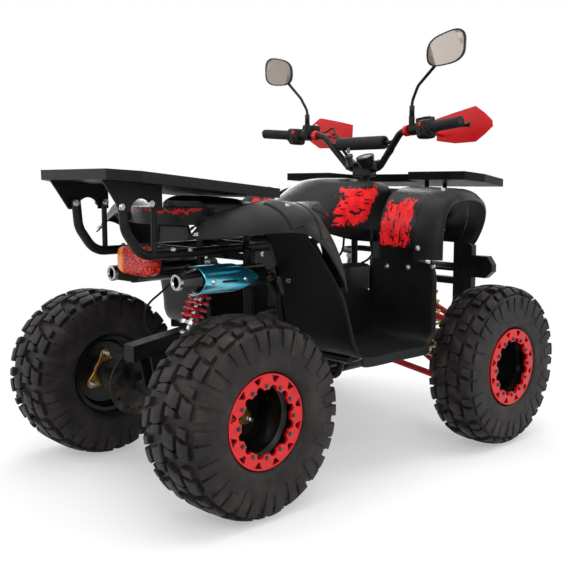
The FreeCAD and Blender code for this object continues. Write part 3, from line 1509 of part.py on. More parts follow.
def chain():
    """The drive chain: a band round both sprockets whose edges bulge once a link."""
    z = rear_wheel_z
    y1 = crankcase_rear_y + output_inset
    z1 = crankcase_low_z + crankcase_height / 2 - 6
    r0 = sprocket_radius + seat_gap
    r1 = output_radius + seat_gap
    centre = at(0, 0, z)
    run = at(0, y1, z1) - centre
    slope = math.atan2(run.z, run.y)
    lean = math.asin((r0 - r1) / run.Length)
    straight = run.Length * math.cos(lean)
    over0 = math.pi + 2 * lean
    over1 = math.pi - 2 * lean
    total = 2 * straight + r0 * over0 + r1 * over1
    links = 44
    rows = ([], [])
    for i in range(2 * links):
        s = total * i / (2 * links)
        if s < r0 * over0:
            angle = slope + math.pi / 2 - lean + s / r0
            point = centre + V(0, math.cos(angle), math.sin(angle)) * r0
        elif s < r0 * over0 + straight:
            angle = slope - math.pi / 2 + lean
            point = centre + V(0, math.cos(angle), math.sin(angle)) * r0
            point = point + V(0, -math.sin(angle), math.cos(angle)) * (s - r0 * over0)
        elif s < r0 * over0 + straight + r1 * over1:
            angle = slope - math.pi / 2 + lean + (s - r0 * over0 - straight) / r1
            point = at(0, y1, z1) + V(0, math.cos(angle), math.sin(angle)) * r1
        else:
            angle = slope + math.pi / 2 - lean
            point = at(0, y1, z1) + V(0, math.cos(angle), math.sin(angle)) * r1
            point = point + V(0, -math.sin(angle), math.cos(angle)) * (s - (total - straight))
        outward = V(0, math.cos(angle), math.sin(angle))
        half = 5.0 if i % 2 else 3.6
        rows[0].append(point + outward * (half + 5.0))
        rows[1].append(point + outward * (5.0 - half))
    band = []
    for row in rows:
        shifted = [V(sprocket_x - 5, p.y, p.z) for p in row]
        band.append(slab(shifted, V(10, 0, 0)))
    return band[0].cut(band[1])


def brake_cable():
    """The cable that the object holds from the frame down to the caliper."""
    z = rear_wheel_z
    return bent_tube([at(-40, 120, 560), at(-60, 60, 500), at(-104, 20, 452), at(-128, 34, 400),
                      at(disc_x - 6, 50, z + 130), at(disc_x - 6, 50, z + 104.4)], 3.0, 60)


def write(name, shape):
    """One file for one node."""
    shape.exportStep("parts/" + name + ".step")


def main():
    os.makedirs("parts", exist_ok=True)
    write("frame", frame())
    write("engine", engine())
    write("mufflers", pair(muffler()))
    write("exhaust_pipes", exhaust_pipes())
    write("heat_shield", heat_shield())
    write("swing_arm", swing_arm())
    write("rear_caliper", caliper())
    write("brake_cable", brake_cable())
    write("chain", chain())
    rear_low = at(rear_shock_x, rear_low_eye_y, rear_low_eye_z)
    rear_high = at(rear_shock_x, rear_eye_y, rear_eye_z)
    write("rear_shock", shock(rear_low, rear_high))
    write("rear_spring", spring_on(rear_low, rear_high, rear_spring_radius))
    low = at(0, wheelbase, arm_tube_radius + shock_eye_radius + seat_gap) + arm_tie_point()
    high = at(shock_top_x, wheelbase, shock_hoop_height - small_tube_radius - shock_eye_radius
              - seat_gap)
    write("front_shocks", pair(shock(low, high)))
    write("front_springs", pair(spring_on(low, high, front_spring_radius)))
    write("front_arms", front_arms())
    write("rear_fender", rear_fender())
    write("rear_flares", pair(rear_flare()))
    write("seat", seat())
    write("tank_cover", tank_cover())
    write("front_fender", front_fender())
    write("front_flares", pair(front_flare()))
    write("headlamps", pair(headlamp()))
    write("foot_wells", pair(foot_well()))
    write("rear_rack", rear_rack())
    write("rack_tubes", rack_tubes())
    write("front_rack", front_rack())
    write("bumper", bumper())
    write("tail_lamp", tail_lamp())
    write("steering_stem", steering_stem())
    write("handlebar", handlebar())
    write("bar_pad", bar_pad())
    write("grips", pair(grip()))
    write("controls", pair(control()))
    write("hand_guards", pair(hand_guard()))
    write("mirrors", pair(mirror()))
    write("mirror_glass", pair(mirror_glass()))
    right = knuckle()
    write("knuckle_right", right)
    write("knuckle_left", mirrored(right))
    write("tie_rod_right", tie_rod(0))
    write("tie_rod_left", mirrored(tie_rod(eye_height + seat_gap)))
    front = wheel(front_wheel_x, wheelbase, front_wheel_z, front_tyre_radius, front_tyre_width,
                  front_rim_half_width, front_dish_x, front_hub_length,
                  stub_radius + axle_running_fit)
    for name, shape in zip(("tyre", "rim", "ring"), front):
        write("front_" + name + "_right", shape)
        write("front_" + name + "_left", mirrored(shape))
    rear = wheel(rear_wheel_x, 0, rear_wheel_z, rear_tyre_radius, rear_tyre_width,
                 rear_rim_half_width, rear_dish_x, rear_hub_length, axle_radius + seat_gap)
    for name, shape in zip(("tyres", "rims", "rings"), rear):
        write("rear_" + name, pair(shape))
    write("rear_axle", rear_axle())


main()
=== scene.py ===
# %% [markdown]
# # A quad bike in the studio
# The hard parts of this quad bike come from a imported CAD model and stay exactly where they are. This lesson
# gives each of them a finish, and adds what its makers add last: tread on the tyres, padding on the seat,
# bolts, cables and the glass of the lamps. Lengths are in metres. +X is the rider's right, +Y forward and
# +Z up.

# %% Load the fixed frame
import json
import math

import bmesh
import bpy
import numpy as np
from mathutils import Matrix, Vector
from mathutils.bvhtree import BVHTree


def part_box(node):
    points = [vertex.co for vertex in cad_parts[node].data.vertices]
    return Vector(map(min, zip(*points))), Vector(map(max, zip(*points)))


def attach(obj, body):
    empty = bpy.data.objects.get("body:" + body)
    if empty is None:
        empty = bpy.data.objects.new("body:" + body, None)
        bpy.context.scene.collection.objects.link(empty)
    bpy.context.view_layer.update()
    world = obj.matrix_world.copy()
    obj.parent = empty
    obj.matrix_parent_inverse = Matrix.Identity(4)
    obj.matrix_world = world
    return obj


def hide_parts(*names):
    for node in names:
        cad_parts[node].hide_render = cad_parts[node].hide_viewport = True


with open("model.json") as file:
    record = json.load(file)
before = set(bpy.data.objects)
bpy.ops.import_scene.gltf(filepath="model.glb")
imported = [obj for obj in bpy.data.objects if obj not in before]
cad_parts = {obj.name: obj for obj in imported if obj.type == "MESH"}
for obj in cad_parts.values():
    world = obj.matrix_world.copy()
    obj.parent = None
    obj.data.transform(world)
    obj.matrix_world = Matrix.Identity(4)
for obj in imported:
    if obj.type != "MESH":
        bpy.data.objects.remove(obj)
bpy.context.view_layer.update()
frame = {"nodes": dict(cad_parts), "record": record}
nodes = frame["nodes"]

# %% [markdown]
# ## Where the wheels are
# The middle of a tyre's box is the middle of its wheel. The rear tyres share one node, so their x comes
# from its outer edge.

# %% Axles and wheels
rear_half_width = 0.103
front_half_width = 0.074
rear_low, rear_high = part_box("rear_tyres")
front_low, front_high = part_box("front_tyre_right")
rear_radius = (rear_high.z - rear_low.z) / 2
front_radius = (front_high.y - front_low.y) / 2
rear_wheel = Vector((rear_high.x - rear_half_width, (rear_low.y + rear_high.y) / 2,
                     rear_low.z + rear_radius))
front_wheel = Vector((front_high.x - front_half_width, (front_low.y + front_high.y) / 2,
                      (front_low.z + front_high.z) / 2))
print("wheelbase", round(front_wheel.y - rear_wheel.y, 4), "rear radius", round(rear_radius, 4))


def ahead(x, y, z):
    """A point given as x, the distance ahead of the rear axle, and the height."""
    return np.array([x, rear_wheel.y + y, z])


# %% [markdown]
# ## The camera
# The photograph was taken from behind and to the right, a little above the seat, with a lens near 53 mm.
# Its place, turn and lens were worked out from the wheels' ellipses and the two axles. A camera in Blender
# looks along its own -Z, so 90 degrees about X levels it, and the last turn about Z swings it to the left.

# %% Camera
camera_place = (1.8283, -1.7314, 0.7886)
camera_yaw = 47.067
camera_pitch = 6.965
camera_lens = 52.65
camera_data = bpy.data.cameras.new("camera")
camera_data.lens = camera_lens
camera = bpy.data.objects.new("camera", camera_data)
camera.location = camera_place
camera.rotation_euler = (math.radians(90 - camera_pitch), 0, math.radians(camera_yaw))
bpy.context.scene.collection.objects.link(camera)
bpy.context.scene.camera = camera
print("camera", camera_place, camera_lens)

# %% [markdown]
# ## Small helpers for materials
# A material in Blender is a graph of nodes. Adding each node by hand takes four lines, so one helper adds a
# node, sets its constants and joins its inputs. Patterns read Object coordinates: these are metres on the
# object itself, so a grain keeps its real size and doesn't slide when the part turns.

# %% Material helpers


def add(material, kind, inputs=None, **settings):
    """Adds a node: inputs are constants or other nodes' sockets, settings are the node's own options."""
    node = material.node_tree.nodes.new(kind)
    for key, value in settings.items():
        setattr(node, key, value)
    for key, value in (inputs or {}).items():
        if isinstance(value, bpy.types.NodeSocket):
            material.node_tree.links.new(value, node.inputs[key])
        else:
            node.inputs[key].default_value = value
    return node


def linear(red, green, blue):
    """A colour written as 0 to 255 on screen, as the light it stands for."""
    share = np.array([red, green, blue]) / 255
    light = np.where(share <= 0.04045, share / 12.92, ((share + 0.055) / 1.055) ** 2.4)
    return (*light.tolist(), 1.0)


def place_on(material, stretch=(1, 1, 1)):
    """Object coordinates, stretched where a grain runs one way."""
    where = add(material, "ShaderNodeTexCoord").outputs["Object"]
    if tuple(stretch) == (1, 1, 1):
        return where
    return add(material, "ShaderNodeMapping", {"Vector": where, "Scale": stretch}).outputs["Vector"]


def noise(material, where, per_metre, detail=4.0, roughness=0.55):
    """A cloudy pattern from 0 to 1 with so many clouds to the metre."""
    return add(material, "ShaderNodeTexNoise", {"Vector": where, "Scale": per_metre, "Detail": detail,
                                                "Roughness": roughness}).outputs["Fac"]


def ranged(material, value, low, high, to_low, to_high, smooth=False):
    """The value from low to high as a number from to_low to to_high."""
    return add(material, "ShaderNodeMapRange",
               {"Value": value, "From Min": low, "From Max": high, "To Min": to_low, "To Max": to_high},
               interpolation_type="SMOOTHSTEP" if smooth else "LINEAR").outputs["Result"]


def toned(material, value, stops):
    """A colour ramp: stops are (place from 0 to 1, colour written as 0 to 255)."""
    ramp = add(material, "ShaderNodeValToRGB", {"Fac": value})
    elements = ramp.color_ramp.elements
    while len(elements) < len(stops):
        elements.new(0.5)
    for element, (place, colour) in zip(elements, stops):
        element.position = place
        element.color = linear(*colour)
    return ramp.outputs["Color"]


def reckoned(material, operation, first, second=0.0):
    """One sum on two values."""
    return add(material, "ShaderNodeMath", {0: first, 1: second}, operation=operation).outputs["Value"]


def blended(material, share, first, second):
    """The first colour where the share is 0 and the second where it is 1."""
    mix = add(material, "ShaderNodeMix", data_type="RGBA")
    for socket, value in ((mix.inputs[0], share), (mix.inputs[6], first), (mix.inputs[7], second)):
        if isinstance(value, bpy.types.NodeSocket):
            material.node_tree.links.new(value, socket)
        else:
            socket.default_value = value
    return mix.outputs[2]


def within(material, value, low, high, edge):
    """1 where the value is between low and high, with soft edges."""
    rises = ranged(material, value, low, low + edge, 0, 1, True)
    falls = ranged(material, value, high - edge, high, 1, 0, True)
    return reckoned(material, "MULTIPLY", rises, falls)


print("a grey of 128 gives", round(linear(128, 128, 128)[0], 3), "of a white's light")

# %% [markdown]
# ## One recipe for most finishes
# A real surface is never one flat colour. This recipe lays two or three near tones by a broad noise, as
# dust and handling do, and sets the roughness by another, so highlights break up. A fine noise gives the
# bump: the grain of cast metal, of moulded plastic or of rubber. Whatever is the same all over, such as
# metallic, goes straight on the shader's own socket.

# %% Recipe for a finish
grain_detail = 3.0
smear_scale = 2.7
cloud_low, cloud_high = 0.3, 0.7  # nearly all of a cloudy noise lies between these


def shader_of(material):
    """The shader that gives a finish its look."""
    return material.node_tree.nodes["Principled BSDF"]


def feed(material, key, pattern):
    """Joins a pattern to one input of the shader, in place of what fed it before."""
    material.node_tree.links.new(pattern, shader_of(material).inputs[key])


def finish(name, tones, rough, cloud=14.0, grain=900.0, depth=0.0002, stretch=(1, 1, 1), **shader):
    """A material of near tones with broken highlights; rough is its range, depth the grain's height."""
    material = bpy.data.materials.new(name)
    material.use_nodes = True
    where = place_on(material, stretch)
    clouds = noise(material, where, cloud)
    stops = list(zip(np.linspace(cloud_low, cloud_high, len(tones)), tones))
    feed(material, "Base Color", toned(material, clouds, stops))
    smears = noise(material, where, cloud * smear_scale, 6.0, 0.6)
    feed(material, "Roughness", ranged(material, smears, cloud_low, cloud_high, *rough))
    fine = noise(material, where, grain, grain_detail)
    bump = add(material, "ShaderNodeBump", {"Height": fine, "Strength": 1.0, "Distance": depth})
    feed(material, "Normal", bump.outputs["Normal"])
    for key, value in shader.items():
        shader_of(material).inputs[key.replace("_", " ")].default_value = value
    return material


def colour_of(material):
    """The socket that feeds the shader's colour, so that a pattern can be laid over it."""
    return shader_of(material).inputs["Base Color"].links[0].from_socket


# %% [markdown]
# ## Studio: floor, backdrop and soft light
# The photograph is a cut-out look: white all round with soft shadows under the tyres. The world is plain
# white to the camera and in reflections, and a softer grey as light. The floor mixes that white with a matt
# surface that takes the shadow, and is all white far out, so no edge shows.

# %% World
world_light = 0.62
scene = bpy.context.scene
scene.view_settings.view_transform = "Standard"
world = bpy.data.worlds.new("studio")
scene.world = world
world.use_nodes = True
world.node_tree.nodes.clear()


def seen_straight(owner):
    """1 for rays that the camera, a mirror-like surface or glass sends, and 0 for plain light."""
    paths = add(owner, "ShaderNodeLightPath")
    shiny = reckoned(owner, "MAXIMUM", paths.outputs["Is Camera Ray"], paths.outputs["Is Glossy Ray"])
    return reckoned(owner, "MAXIMUM", shiny, paths.outputs["Is Transmission Ray"])


def mixed(owner, share, first, second):
    """The first shader where the share is 0 and the second where it is 1."""
    return add(owner, "ShaderNodeMixShader", {0: share, 1: first.outputs[0], 2: second.outputs[0]})


soft = add(world, "ShaderNodeBackground", {"Color": (1, 1, 1, 1), "Strength": world_light})
white = add(world, "ShaderNodeBackground", {"Color": (1, 1, 1, 1), "Strength": 1.0})
both = mixed(world, seen_straight(world), soft, white)
add(world, "ShaderNodeOutputWorld", {"Surface": both.outputs[0]})
print("world light", world_light)

# %% Floor
floor_size = 9.0
floor_catch = 0.62  # the share of the matt, shadowed floor in what shows near the object
fade_start, fade_end = 1.0, 1.9  # metres from the middle, where the floor turns plain white
floor_material = bpy.data.materials.new("studio_floor")
floor_material.use_nodes = True
floor_material.node_tree.nodes.clear()
floor_place = add(floor_material, "ShaderNodeTexCoord").outputs["Object"]
from_middle = add(floor_material, "ShaderNodeVectorMath", {0: floor_place}, operation="LENGTH")
matt = add(floor_material, "ShaderNodeBsdfDiffuse", {"Color": (0.92, 0.92, 0.92, 1)})
glow = add(floor_material, "ShaderNodeEmission", {"Color": (1, 1, 1, 1), "Strength": 1.0})
inner = mixed(floor_material, 1 - floor_catch, matt, glow)
far = ranged(floor_material, from_middle.outputs["Value"], fade_start, fade_end, 0, 1, True)
outer = mixed(floor_material, far, inner, glow)
shown = mixed(floor_material, seen_straight(floor_material), matt, outer)
add(floor_material, "ShaderNodeOutputMaterial", {"Surface": shown.outputs[0]})
floor_mesh = bpy.data.meshes.new("floor")
floor_mesh.from_pydata([(-floor_size, -floor_size, 0), (floor_size, -floor_size, 0),
                        (floor_size, floor_size, 0), (-floor_size, floor_size, 0)], [], [(0, 1, 2, 3)])
floor_mesh.materials.append(floor_material)
floor = bpy.data.objects.new("floor", floor_mesh)
scene.collection.objects.link(floor)
print("floor", 2 * floor_size, "metres wide")

# %% Softboxes
# name, place, what it points at, size in metres and power in watts
softboxes = [("overhead", (0.1, -0.1, 2.9), (0.0, 0.0, 0.3), 2.6, 62.0),
             ("behind_right", (2.4, -1.5, 1.9), (0.1, -0.1, 0.5), 1.5, 26.0),
             ("behind_left", (-1.6, -2.7, 1.8), (0.0, -0.2, 0.5), 1.4, 24.0),
             ("front_left", (-2.3, 1.9, 1.8), (0.0, 0.3, 0.5), 1.5, 26.0),
             ("front_right", (1.9, 2.6, 1.6), (0.1, 0.4, 0.5), 1.3, 18.0)]
for name, place, target, size, power in softboxes:
    lamp = bpy.data.lights.new(name, "AREA")
    lamp.size = size
    lamp.energy = power
    light = bpy.data.objects.new(name, lamp)
    light.location = place
    light.rotation_euler = (Vector(target) - Vector(place)).to_track_quat("-Z", "Y").to_euler()
    scene.collection.objects.link(light)
print("lights", len(softboxes))

# %% [markdown]
# ## A finish for each material slot
# The record lists slots such as `grey_plastic` and `arm_red`. Each gets one material here. The bodywork is
# charcoal plastic moulded with a fine leather grain, the frame is powder coated black, the rings are gloss
# red paint, and the rubber is nearly black with a little brown in it.

# %% Plastics, paints and metals
# after the tones: roughness from and to, clouds and grains to the metre, and the grain's height in metres
finishes = {
    "grey_plastic": finish("charcoal_plastic", [(10, 10, 11), (15, 14, 15), (21, 20, 21)],
                           (0.17, 0.30), 9.0, 1400.0, 0.0003, Specular_IOR_Level=0.15),
    "black_plastic": finish("black_plastic", [(17, 16, 17), (26, 25, 26)], (0.3, 0.44), 11.0,
                            1600.0, 0.0003, Specular_IOR_Level=0.14),
    "red_plastic": finish("red_plastic", [(178, 4, 10), (200, 8, 14)], (0.34, 0.46), 8.0, 1200.0,
                          0.0001, Specular_IOR_Level=0.3),
    "frame_paint": finish("powder_coat", [(12, 12, 13), (20, 20, 21), (28, 27, 27)],
                          (0.26, 0.4), 18.0, 700.0, 0.00025, Specular_IOR_Level=0.16),
    "cast_aluminium": finish("cast_aluminium", [(34, 33, 33), (52, 51, 50), (76, 75, 73)],
                             (0.42, 0.62), 22.0, 480.0, 0.0009, Metallic=0.75),
    "bright_steel": finish("bright_steel", [(150, 152, 156), (198, 199, 202)], (0.14, 0.32), 30.0,
                           900.0, 0.0001, Metallic=1.0),
    "chain_steel": finish("chain_steel", [(60, 54, 48), (104, 98, 90)], (0.4, 0.6), 60.0, 600.0,
                          0.0004, Metallic=0.9),
    "spring_red": finish("red_spring_paint", [(190, 8, 16), (220, 18, 26)], (0.22, 0.34), 30.0,
                         700.0, 0.0001, Coat_Weight=0.3, Coat_Roughness=0.1),
    "spring_gold": finish("gold_spring_paint", [(176, 126, 26), (206, 158, 52)], (0.24, 0.38), 30.0,
                          700.0, 0.0001, Metallic=0.75),
    "arm_red": finish("red_tube_paint", [(164, 8, 14), (196, 14, 20)], (0.28, 0.42), 16.0, 600.0,
                      0.0002, Specular_IOR_Level=0.4),
    "ring_red": finish("red_ring_paint", [(180, 4, 12), (208, 12, 20)], (0.26, 0.4), 20.0, 500.0,
                       0.0003, Specular_IOR_Level=0.4),
    "rim_black": finish("black_rim_paint", [(8, 8, 9), (15, 15, 16)], (0.2, 0.36), 14.0, 500.0,
                        0.00015, Specular_IOR_Level=0.3),
    "grip_rubber": finish("grip_rubber", [(14, 14, 14), (24, 23, 23)], (0.6, 0.78), 20.0, 1100.0,
                          0.0004, Specular_IOR_Level=0.25),
    "tyre_rubber": finish("tyre_rubber", [(22, 20, 19), (32, 29, 28), (46, 42, 40)],
                          (0.42, 0.62), 17.0, 700.0, 0.0006, Specular_IOR_Level=0.2),
    "seat_vinyl": finish("seat_vinyl", [(13, 13, 14), (22, 22, 23)], (0.36, 0.52), 12.0, 900.0,
                         0.0006, Specular_IOR_Level=0.4),
    # the mirror's pale grey is a painted reflection of a sky, not the glass's own colour
    "mirror_face": finish("mirror_painted_sky", [(140, 130, 122), (156, 146, 138)], (0.12, 0.22), 3.0,
                          40.0, 0.00002, Metallic=0.12, Specular_IOR_Level=0.3),
    "lamp_clear": finish("clear_lens", [(226, 230, 234), (240, 242, 244)], (0.02, 0.06), 6.0, 90.0,
                         0.0001, Transmission_Weight=0.75, IOR=1.49),
    "lamp_red": finish("red_lens", [(206, 30, 8), (236, 66, 18)], (0.10, 0.2), 9.0, 160.0,
                       0.0002, Specular_IOR_Level=0.3),
    # the shield's teal is brightened and its palest streaks along its length are partly painted sheen, partly
    # the metal's own changing tone
    "shield_teal": finish("teal_shield_tone_and_sheen", [(14, 112, 146), (52, 172, 204), (150, 226, 236)],
                          (0.12, 0.24), 16.0, 260.0, 0.0002, (1, 0.25, 1), Metallic=0.85),
}
print("finishes", len(finishes))

# %% [markdown]
# ## Dress the CAD nodes
# A node's slot name is in the record. The mesh of a node isn't touched: only the material in its slot
# changes.

# %% Materials on the CAD nodes
slot_of = {row["node"]: row["material_slot"] for row in frame["record"]["subparts"]}


def coat(mesh, material):
    """Gives a mesh one material in place of those that it had."""
    mesh.materials.clear()
    mesh.materials.append(material)


for name, node in nodes.items():
    coat(node.data, finishes[slot_of[name]])
smoked = finish("smoked_steel", [(44, 42, 42), (74, 71, 70)], (0.16, 0.30), 12.0, 500.0, 0.0001,
                Metallic=0.9)
axle_steel = finish("oiled_axle_steel", [(34, 33, 33), (62, 59, 56), (92, 88, 84)], (0.34, 0.5),
                    26.0, 420.0, 0.0004, Metallic=0.85)
nodes["mufflers"].data.materials[0] = smoked
nodes["rear_axle"].data.materials[0] = axle_steel
print("nodes dressed", len(slot_of))

# %% [markdown]
# ## Helpers for shapes
# New pieces are surfaces worked out with numpy. A grid of points is computed as one array, from a profile
# or a formula, and one small function turns any grid into quads. Merging doubles closes the seams and the
# poles, and recalculating the normals afterwards makes every face point outwards.

# %% Grids, meshes and pieces
grid_merge = 0.00002
copy_merge = 0.00005


def grid_part(points, wrap_rows=False, wrap_columns=False):
    """Points and quads of a grid, or of a stack of equal grids. Cell (i, j) joins points (i, j), (i+1, j),
    (i+1, j+1) and (i, j+1), and a wrapped side joins its last line to its first."""
    rows, columns = points.shape[-3:-1]
    i = np.arange(rows if wrap_rows else rows - 1)[:, None]
    j = np.arange(columns if wrap_columns else columns - 1)[None, :]
    next_i, next_j = (i + 1) % rows, (j + 1) % columns
    corners = [i * columns + j, next_i * columns + j, next_i * columns + next_j, i * columns + next_j]
    cells = np.stack(np.broadcast_arrays(*corners), -1).reshape(-1, 4)
    flat = points.reshape(-1, 3)
    starts = np.arange(0, len(flat), rows * columns)
    return flat, (cells[None] + starts[:, None, None]).reshape(-1, 4)


def points_of(mesh, kind="co"):
    """A mesh's points, or its normals at them, as one array."""
    values = np.empty(3 * len(mesh.vertices))
    mesh.vertices.foreach_get(kind, values)
    return values.reshape(-1, 3)


def merge(mesh, distance):
    """Joins the points that lie within the distance, and then points every face outwards."""
    work = bmesh.new()
    work.from_mesh(mesh)
    bmesh.ops.remove_doubles(work, verts=work.verts, dist=distance)
    bmesh.ops.recalc_face_normals(work, faces=work.faces)
    work.to_mesh(mesh)
    work.free()


def baked(thing):
    """The mesh of an object with its modifiers applied."""
    graph = bpy.context.evaluated_depsgraph_get()
    return bpy.data.meshes.new_from_object(thing.evaluated_get(graph))


def as_piece(name, mesh, body, material, stands_for=(), sharp=35.0):
    """An object from a merged mesh: smooth up to the sharp angle, in one material, riding a body."""
    coat(mesh, material)
    mesh.shade_smooth()
    mesh.set_sharp_from_angle(angle=math.radians(sharp))
    piece = bpy.data.objects.new(name, mesh)
    scene.collection.objects.link(piece)
    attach(piece, body)
    if stands_for:
        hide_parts(*stands_for)
    return piece


def new_piece(name, parts, body, slot, material=None, stands_for=(), sharp=35.0):
    """Joins grids into one closed mesh and makes a piece of it."""
    starts = np.cumsum([0] + [len(points) for points, _ in parts])
    points = np.vstack([points for points, _ in parts])
    faces = np.vstack([cells + start for (_, cells), start in zip(parts, starts)])
    mesh = bpy.data.meshes.new(name)
    mesh.from_pydata(points.tolist(), [], faces.tolist())
    merge(mesh, grid_merge)
    return as_piece(name, mesh, body, material or finishes[slot], stands_for, sharp)


print("doubles are merged within", grid_merge * 1000, "mm")

# %% [markdown]
# ## Lines, turned shapes and tubes
# Few forms are drawn point by point. A smooth line runs through a few chosen points, a profile turned round
# a direction makes bolts, caps and bowls, and a circle carried along a line makes a hose.

# %% Lines, turned shapes and tubes


def smooth_line(points, count):
    """A Catmull-Rom curve: each span blends its four nearest points by cubic weights."""
    corners = np.asarray(points, float)
    padded = np.vstack([2 * corners[0] - corners[1], corners, 2 * corners[-1] - corners[-2]])
    along = np.linspace(0, len(corners) - 1 - 1e-9, count)
    span = along.astype(int)
    part = (along - span)[:, None]
    before, first, second, after = (padded[span + k] for k in range(4))
    square, cube = 2 * before - 5 * first + 4 * second - after, 3 * first - before - 3 * second + after
    return 0.5 * (2 * first + (second - before) * part + square * part ** 2 + cube * part ** 3)


def unit(vectors):
    """The same directions with length 1."""
    vectors = np.asarray(vectors, float)
    return vectors / np.linalg.norm(vectors, axis=-1, keepdims=True)


def turned(profile, places, ways, count):
    """A ring of points at each place: profile points are (distance along the way, radius), and each
    goes round the way in equal steps. Six steps make a nut, and 24 a cap."""
    places, ways = np.broadcast_arrays(np.atleast_2d(places), unit(np.atleast_2d(ways)))
    upright = np.where(np.abs(ways[:, 2:]) < 0.9, [[0, 0, 1.0]], [[1.0, 0, 0]])
    side = unit(np.cross(upright, ways))
    other = np.cross(ways, side)
    angle = 2 * np.pi * np.arange(count)[None, :, None] / count
    outward = np.cos(angle) * side[:, None] + np.sin(angle) * other[:, None]
    along, radius = np.asarray(profile, float).T
    steps = (ways[:, None] * along[None, :, None])[:, None]
    rings = outward[:, :, None] * radius[None, None, :, None] + steps
    return grid_part(places[:, None, None] + rings, wrap_rows=True)


def tube(line, radius, sides=8):
    """A round tube along a line: circles square to the line's direction, closed by a point at each end."""
    line = np.asarray(line, float)
    way = unit(np.gradient(line, axis=0))
    side = unit(np.cross(way, (0, 0, 1.0)))
    other = np.cross(side, way)
    angle = 2 * np.pi * np.arange(sides)[None, :, None] / sides
    circle = np.cos(angle) * side[:, None] + np.sin(angle) * other[:, None]
    rings = line[:, None] + circle * np.broadcast_to(radius, len(line))[:, None, None]
    ends = [np.repeat(line[k][None, None], sides, 1) for k in (0, -1)]
    return grid_part(np.concatenate([ends[0], rings, ends[1]]), wrap_columns=True)


def both_sides(part):
    """A part on the right and its mirror image on the left."""
    points, cells = part
    return [(points, cells), (points * (-1, 1, 1), cells)]


def mirrored(parts):
    """Each part with its mirror image."""
    return [side for part in parts for side in both_sides(part)]


print("a curve through three points", smooth_line([(0, 0), (1, 1), (2, 0)], 5).round(2).tolist())

# %% [markdown]
# ## Tyres: a carcass and a few tiles of tread
# These are knobby off-road tyres: a smooth carcass with blocks standing 13 mm proud, big ones on the crown
# and long ones over the shoulder. Sculpting them would give millions of faces. Instead the carcass is one
# profile carried round the wheel, and each block is a tile of 7 by 7 points laid on it: its edge rows are
# sunk, its next rows stand up, and one table of twelve tiles repeats round the wheel. A tile follows the
# crown because its place is read off the carcass profile, as a distance across and an angle around.

# %% Tread tiles
lug_height = 0.013
pitches = 16  # how often the table of tiles repeats round a wheel
shoulder_drop, shoulder_from, shoulder_run = 0.45, 0.72, 0.34  # the lugs get lower down the sidewall
tile_steps = np.array([0.0, 0.04, 0.10, 0.5, 0.90, 0.96, 1.0])
tile_rise = np.array([-0.30, 0.90, 1.0, 1.0, 1.0, 0.90, -0.30])
# across start, across end, along at start, along at end, length at start, length at end, bow, height share
half_tiles = np.array([
    [0.03, 0.33, -0.31, -0.10, 0.52, 0.38, 0.06, 1.00],
    [0.05, 0.31, 0.27, 0.36, 0.26, 0.18, -0.03, 0.97],
    [0.39, 0.61, -0.05, 0.06, 0.42, 0.46, 0.05, 0.99],
    [0.40, 0.58, -0.33, -0.27, 0.22, 0.26, 0.00, 0.95],
    [0.67, 1.10, -0.29, -0.22, 0.36, 0.28, 0.00, 0.94],
    [0.67, 0.98, 0.13, 0.18, 0.38, 0.30, 0.00, 0.90],
])
other_half = half_tiles * (-1, -1, 1, 1, 1, 1, 1, 1) + (0, 0, 0.5, 0.5, 0, 0, 0, 0)
tiles = np.vstack([half_tiles, other_half])
print("tiles in the table", len(tiles), "and on a tyre", pitches * len(tiles))

# %% Carcass
section_points = 321
section_middle = section_points // 2
section_step = 5  # the carcass takes every fifth point of its section
ring_points = 120
rib_height, rib_at, rib_spread = 0.0012, 1.42, 0.035  # the fine rib that guards the rim
press_from = 0.85  # the share of the half width from which a tyre is pressed in


def carcass_line(radius, half_width, lip):
    """The carcass section from bead to bead, as points (x, radius), with their outward normals and how far
    across each lies: 0 at the crown and 1 where the tyre is widest."""
    crown = 1 - lug_height / radius
    right = [(0.30, crown - 0.002), (0.58, crown - 0.010), (0.80, crown - 0.036), (0.93, 0.855),
             (0.995, 0.76), (1.0, 0.68), (0.985, 0.60)] + lip
    shares = [(-x, r) for x, r in right[::-1]] + [(0.0, crown)] + right
    line = smooth_line(shares, section_points) * (half_width, radius)
    way = unit(np.gradient(line, axis=0))
    outward = np.stack([-way[:, 1], way[:, 0]], -1)
    run = np.concatenate([[0], np.cumsum(np.linalg.norm(np.diff(line, axis=0), axis=1))])
    widest = run[np.argmax(line[:, 0])]
    across = (run - run[section_middle]) / (widest - run[section_middle])
    return line, outward, across


def round_wheel(centre, x, reach, angle):
    """Points at a distance along the axle and a reach from it, at an angle from straight down."""
    x, reach, angle = np.broadcast_arrays(x, reach, angle)
    y, z = centre[1] + reach * np.sin(angle), centre[2] - reach * np.cos(angle)
    return np.stack([centre[0] + x, y, z], -1)


def held_in(x, half_width):
    """Presses what lies near the half width or beyond it softly back inside."""
    knee = press_from * half_width
    room = half_width - knee
    beyond = np.maximum(np.abs(x) - knee, 0)
    return np.sign(x) * (np.minimum(np.abs(x), knee) + room * np.tanh(beyond / room))


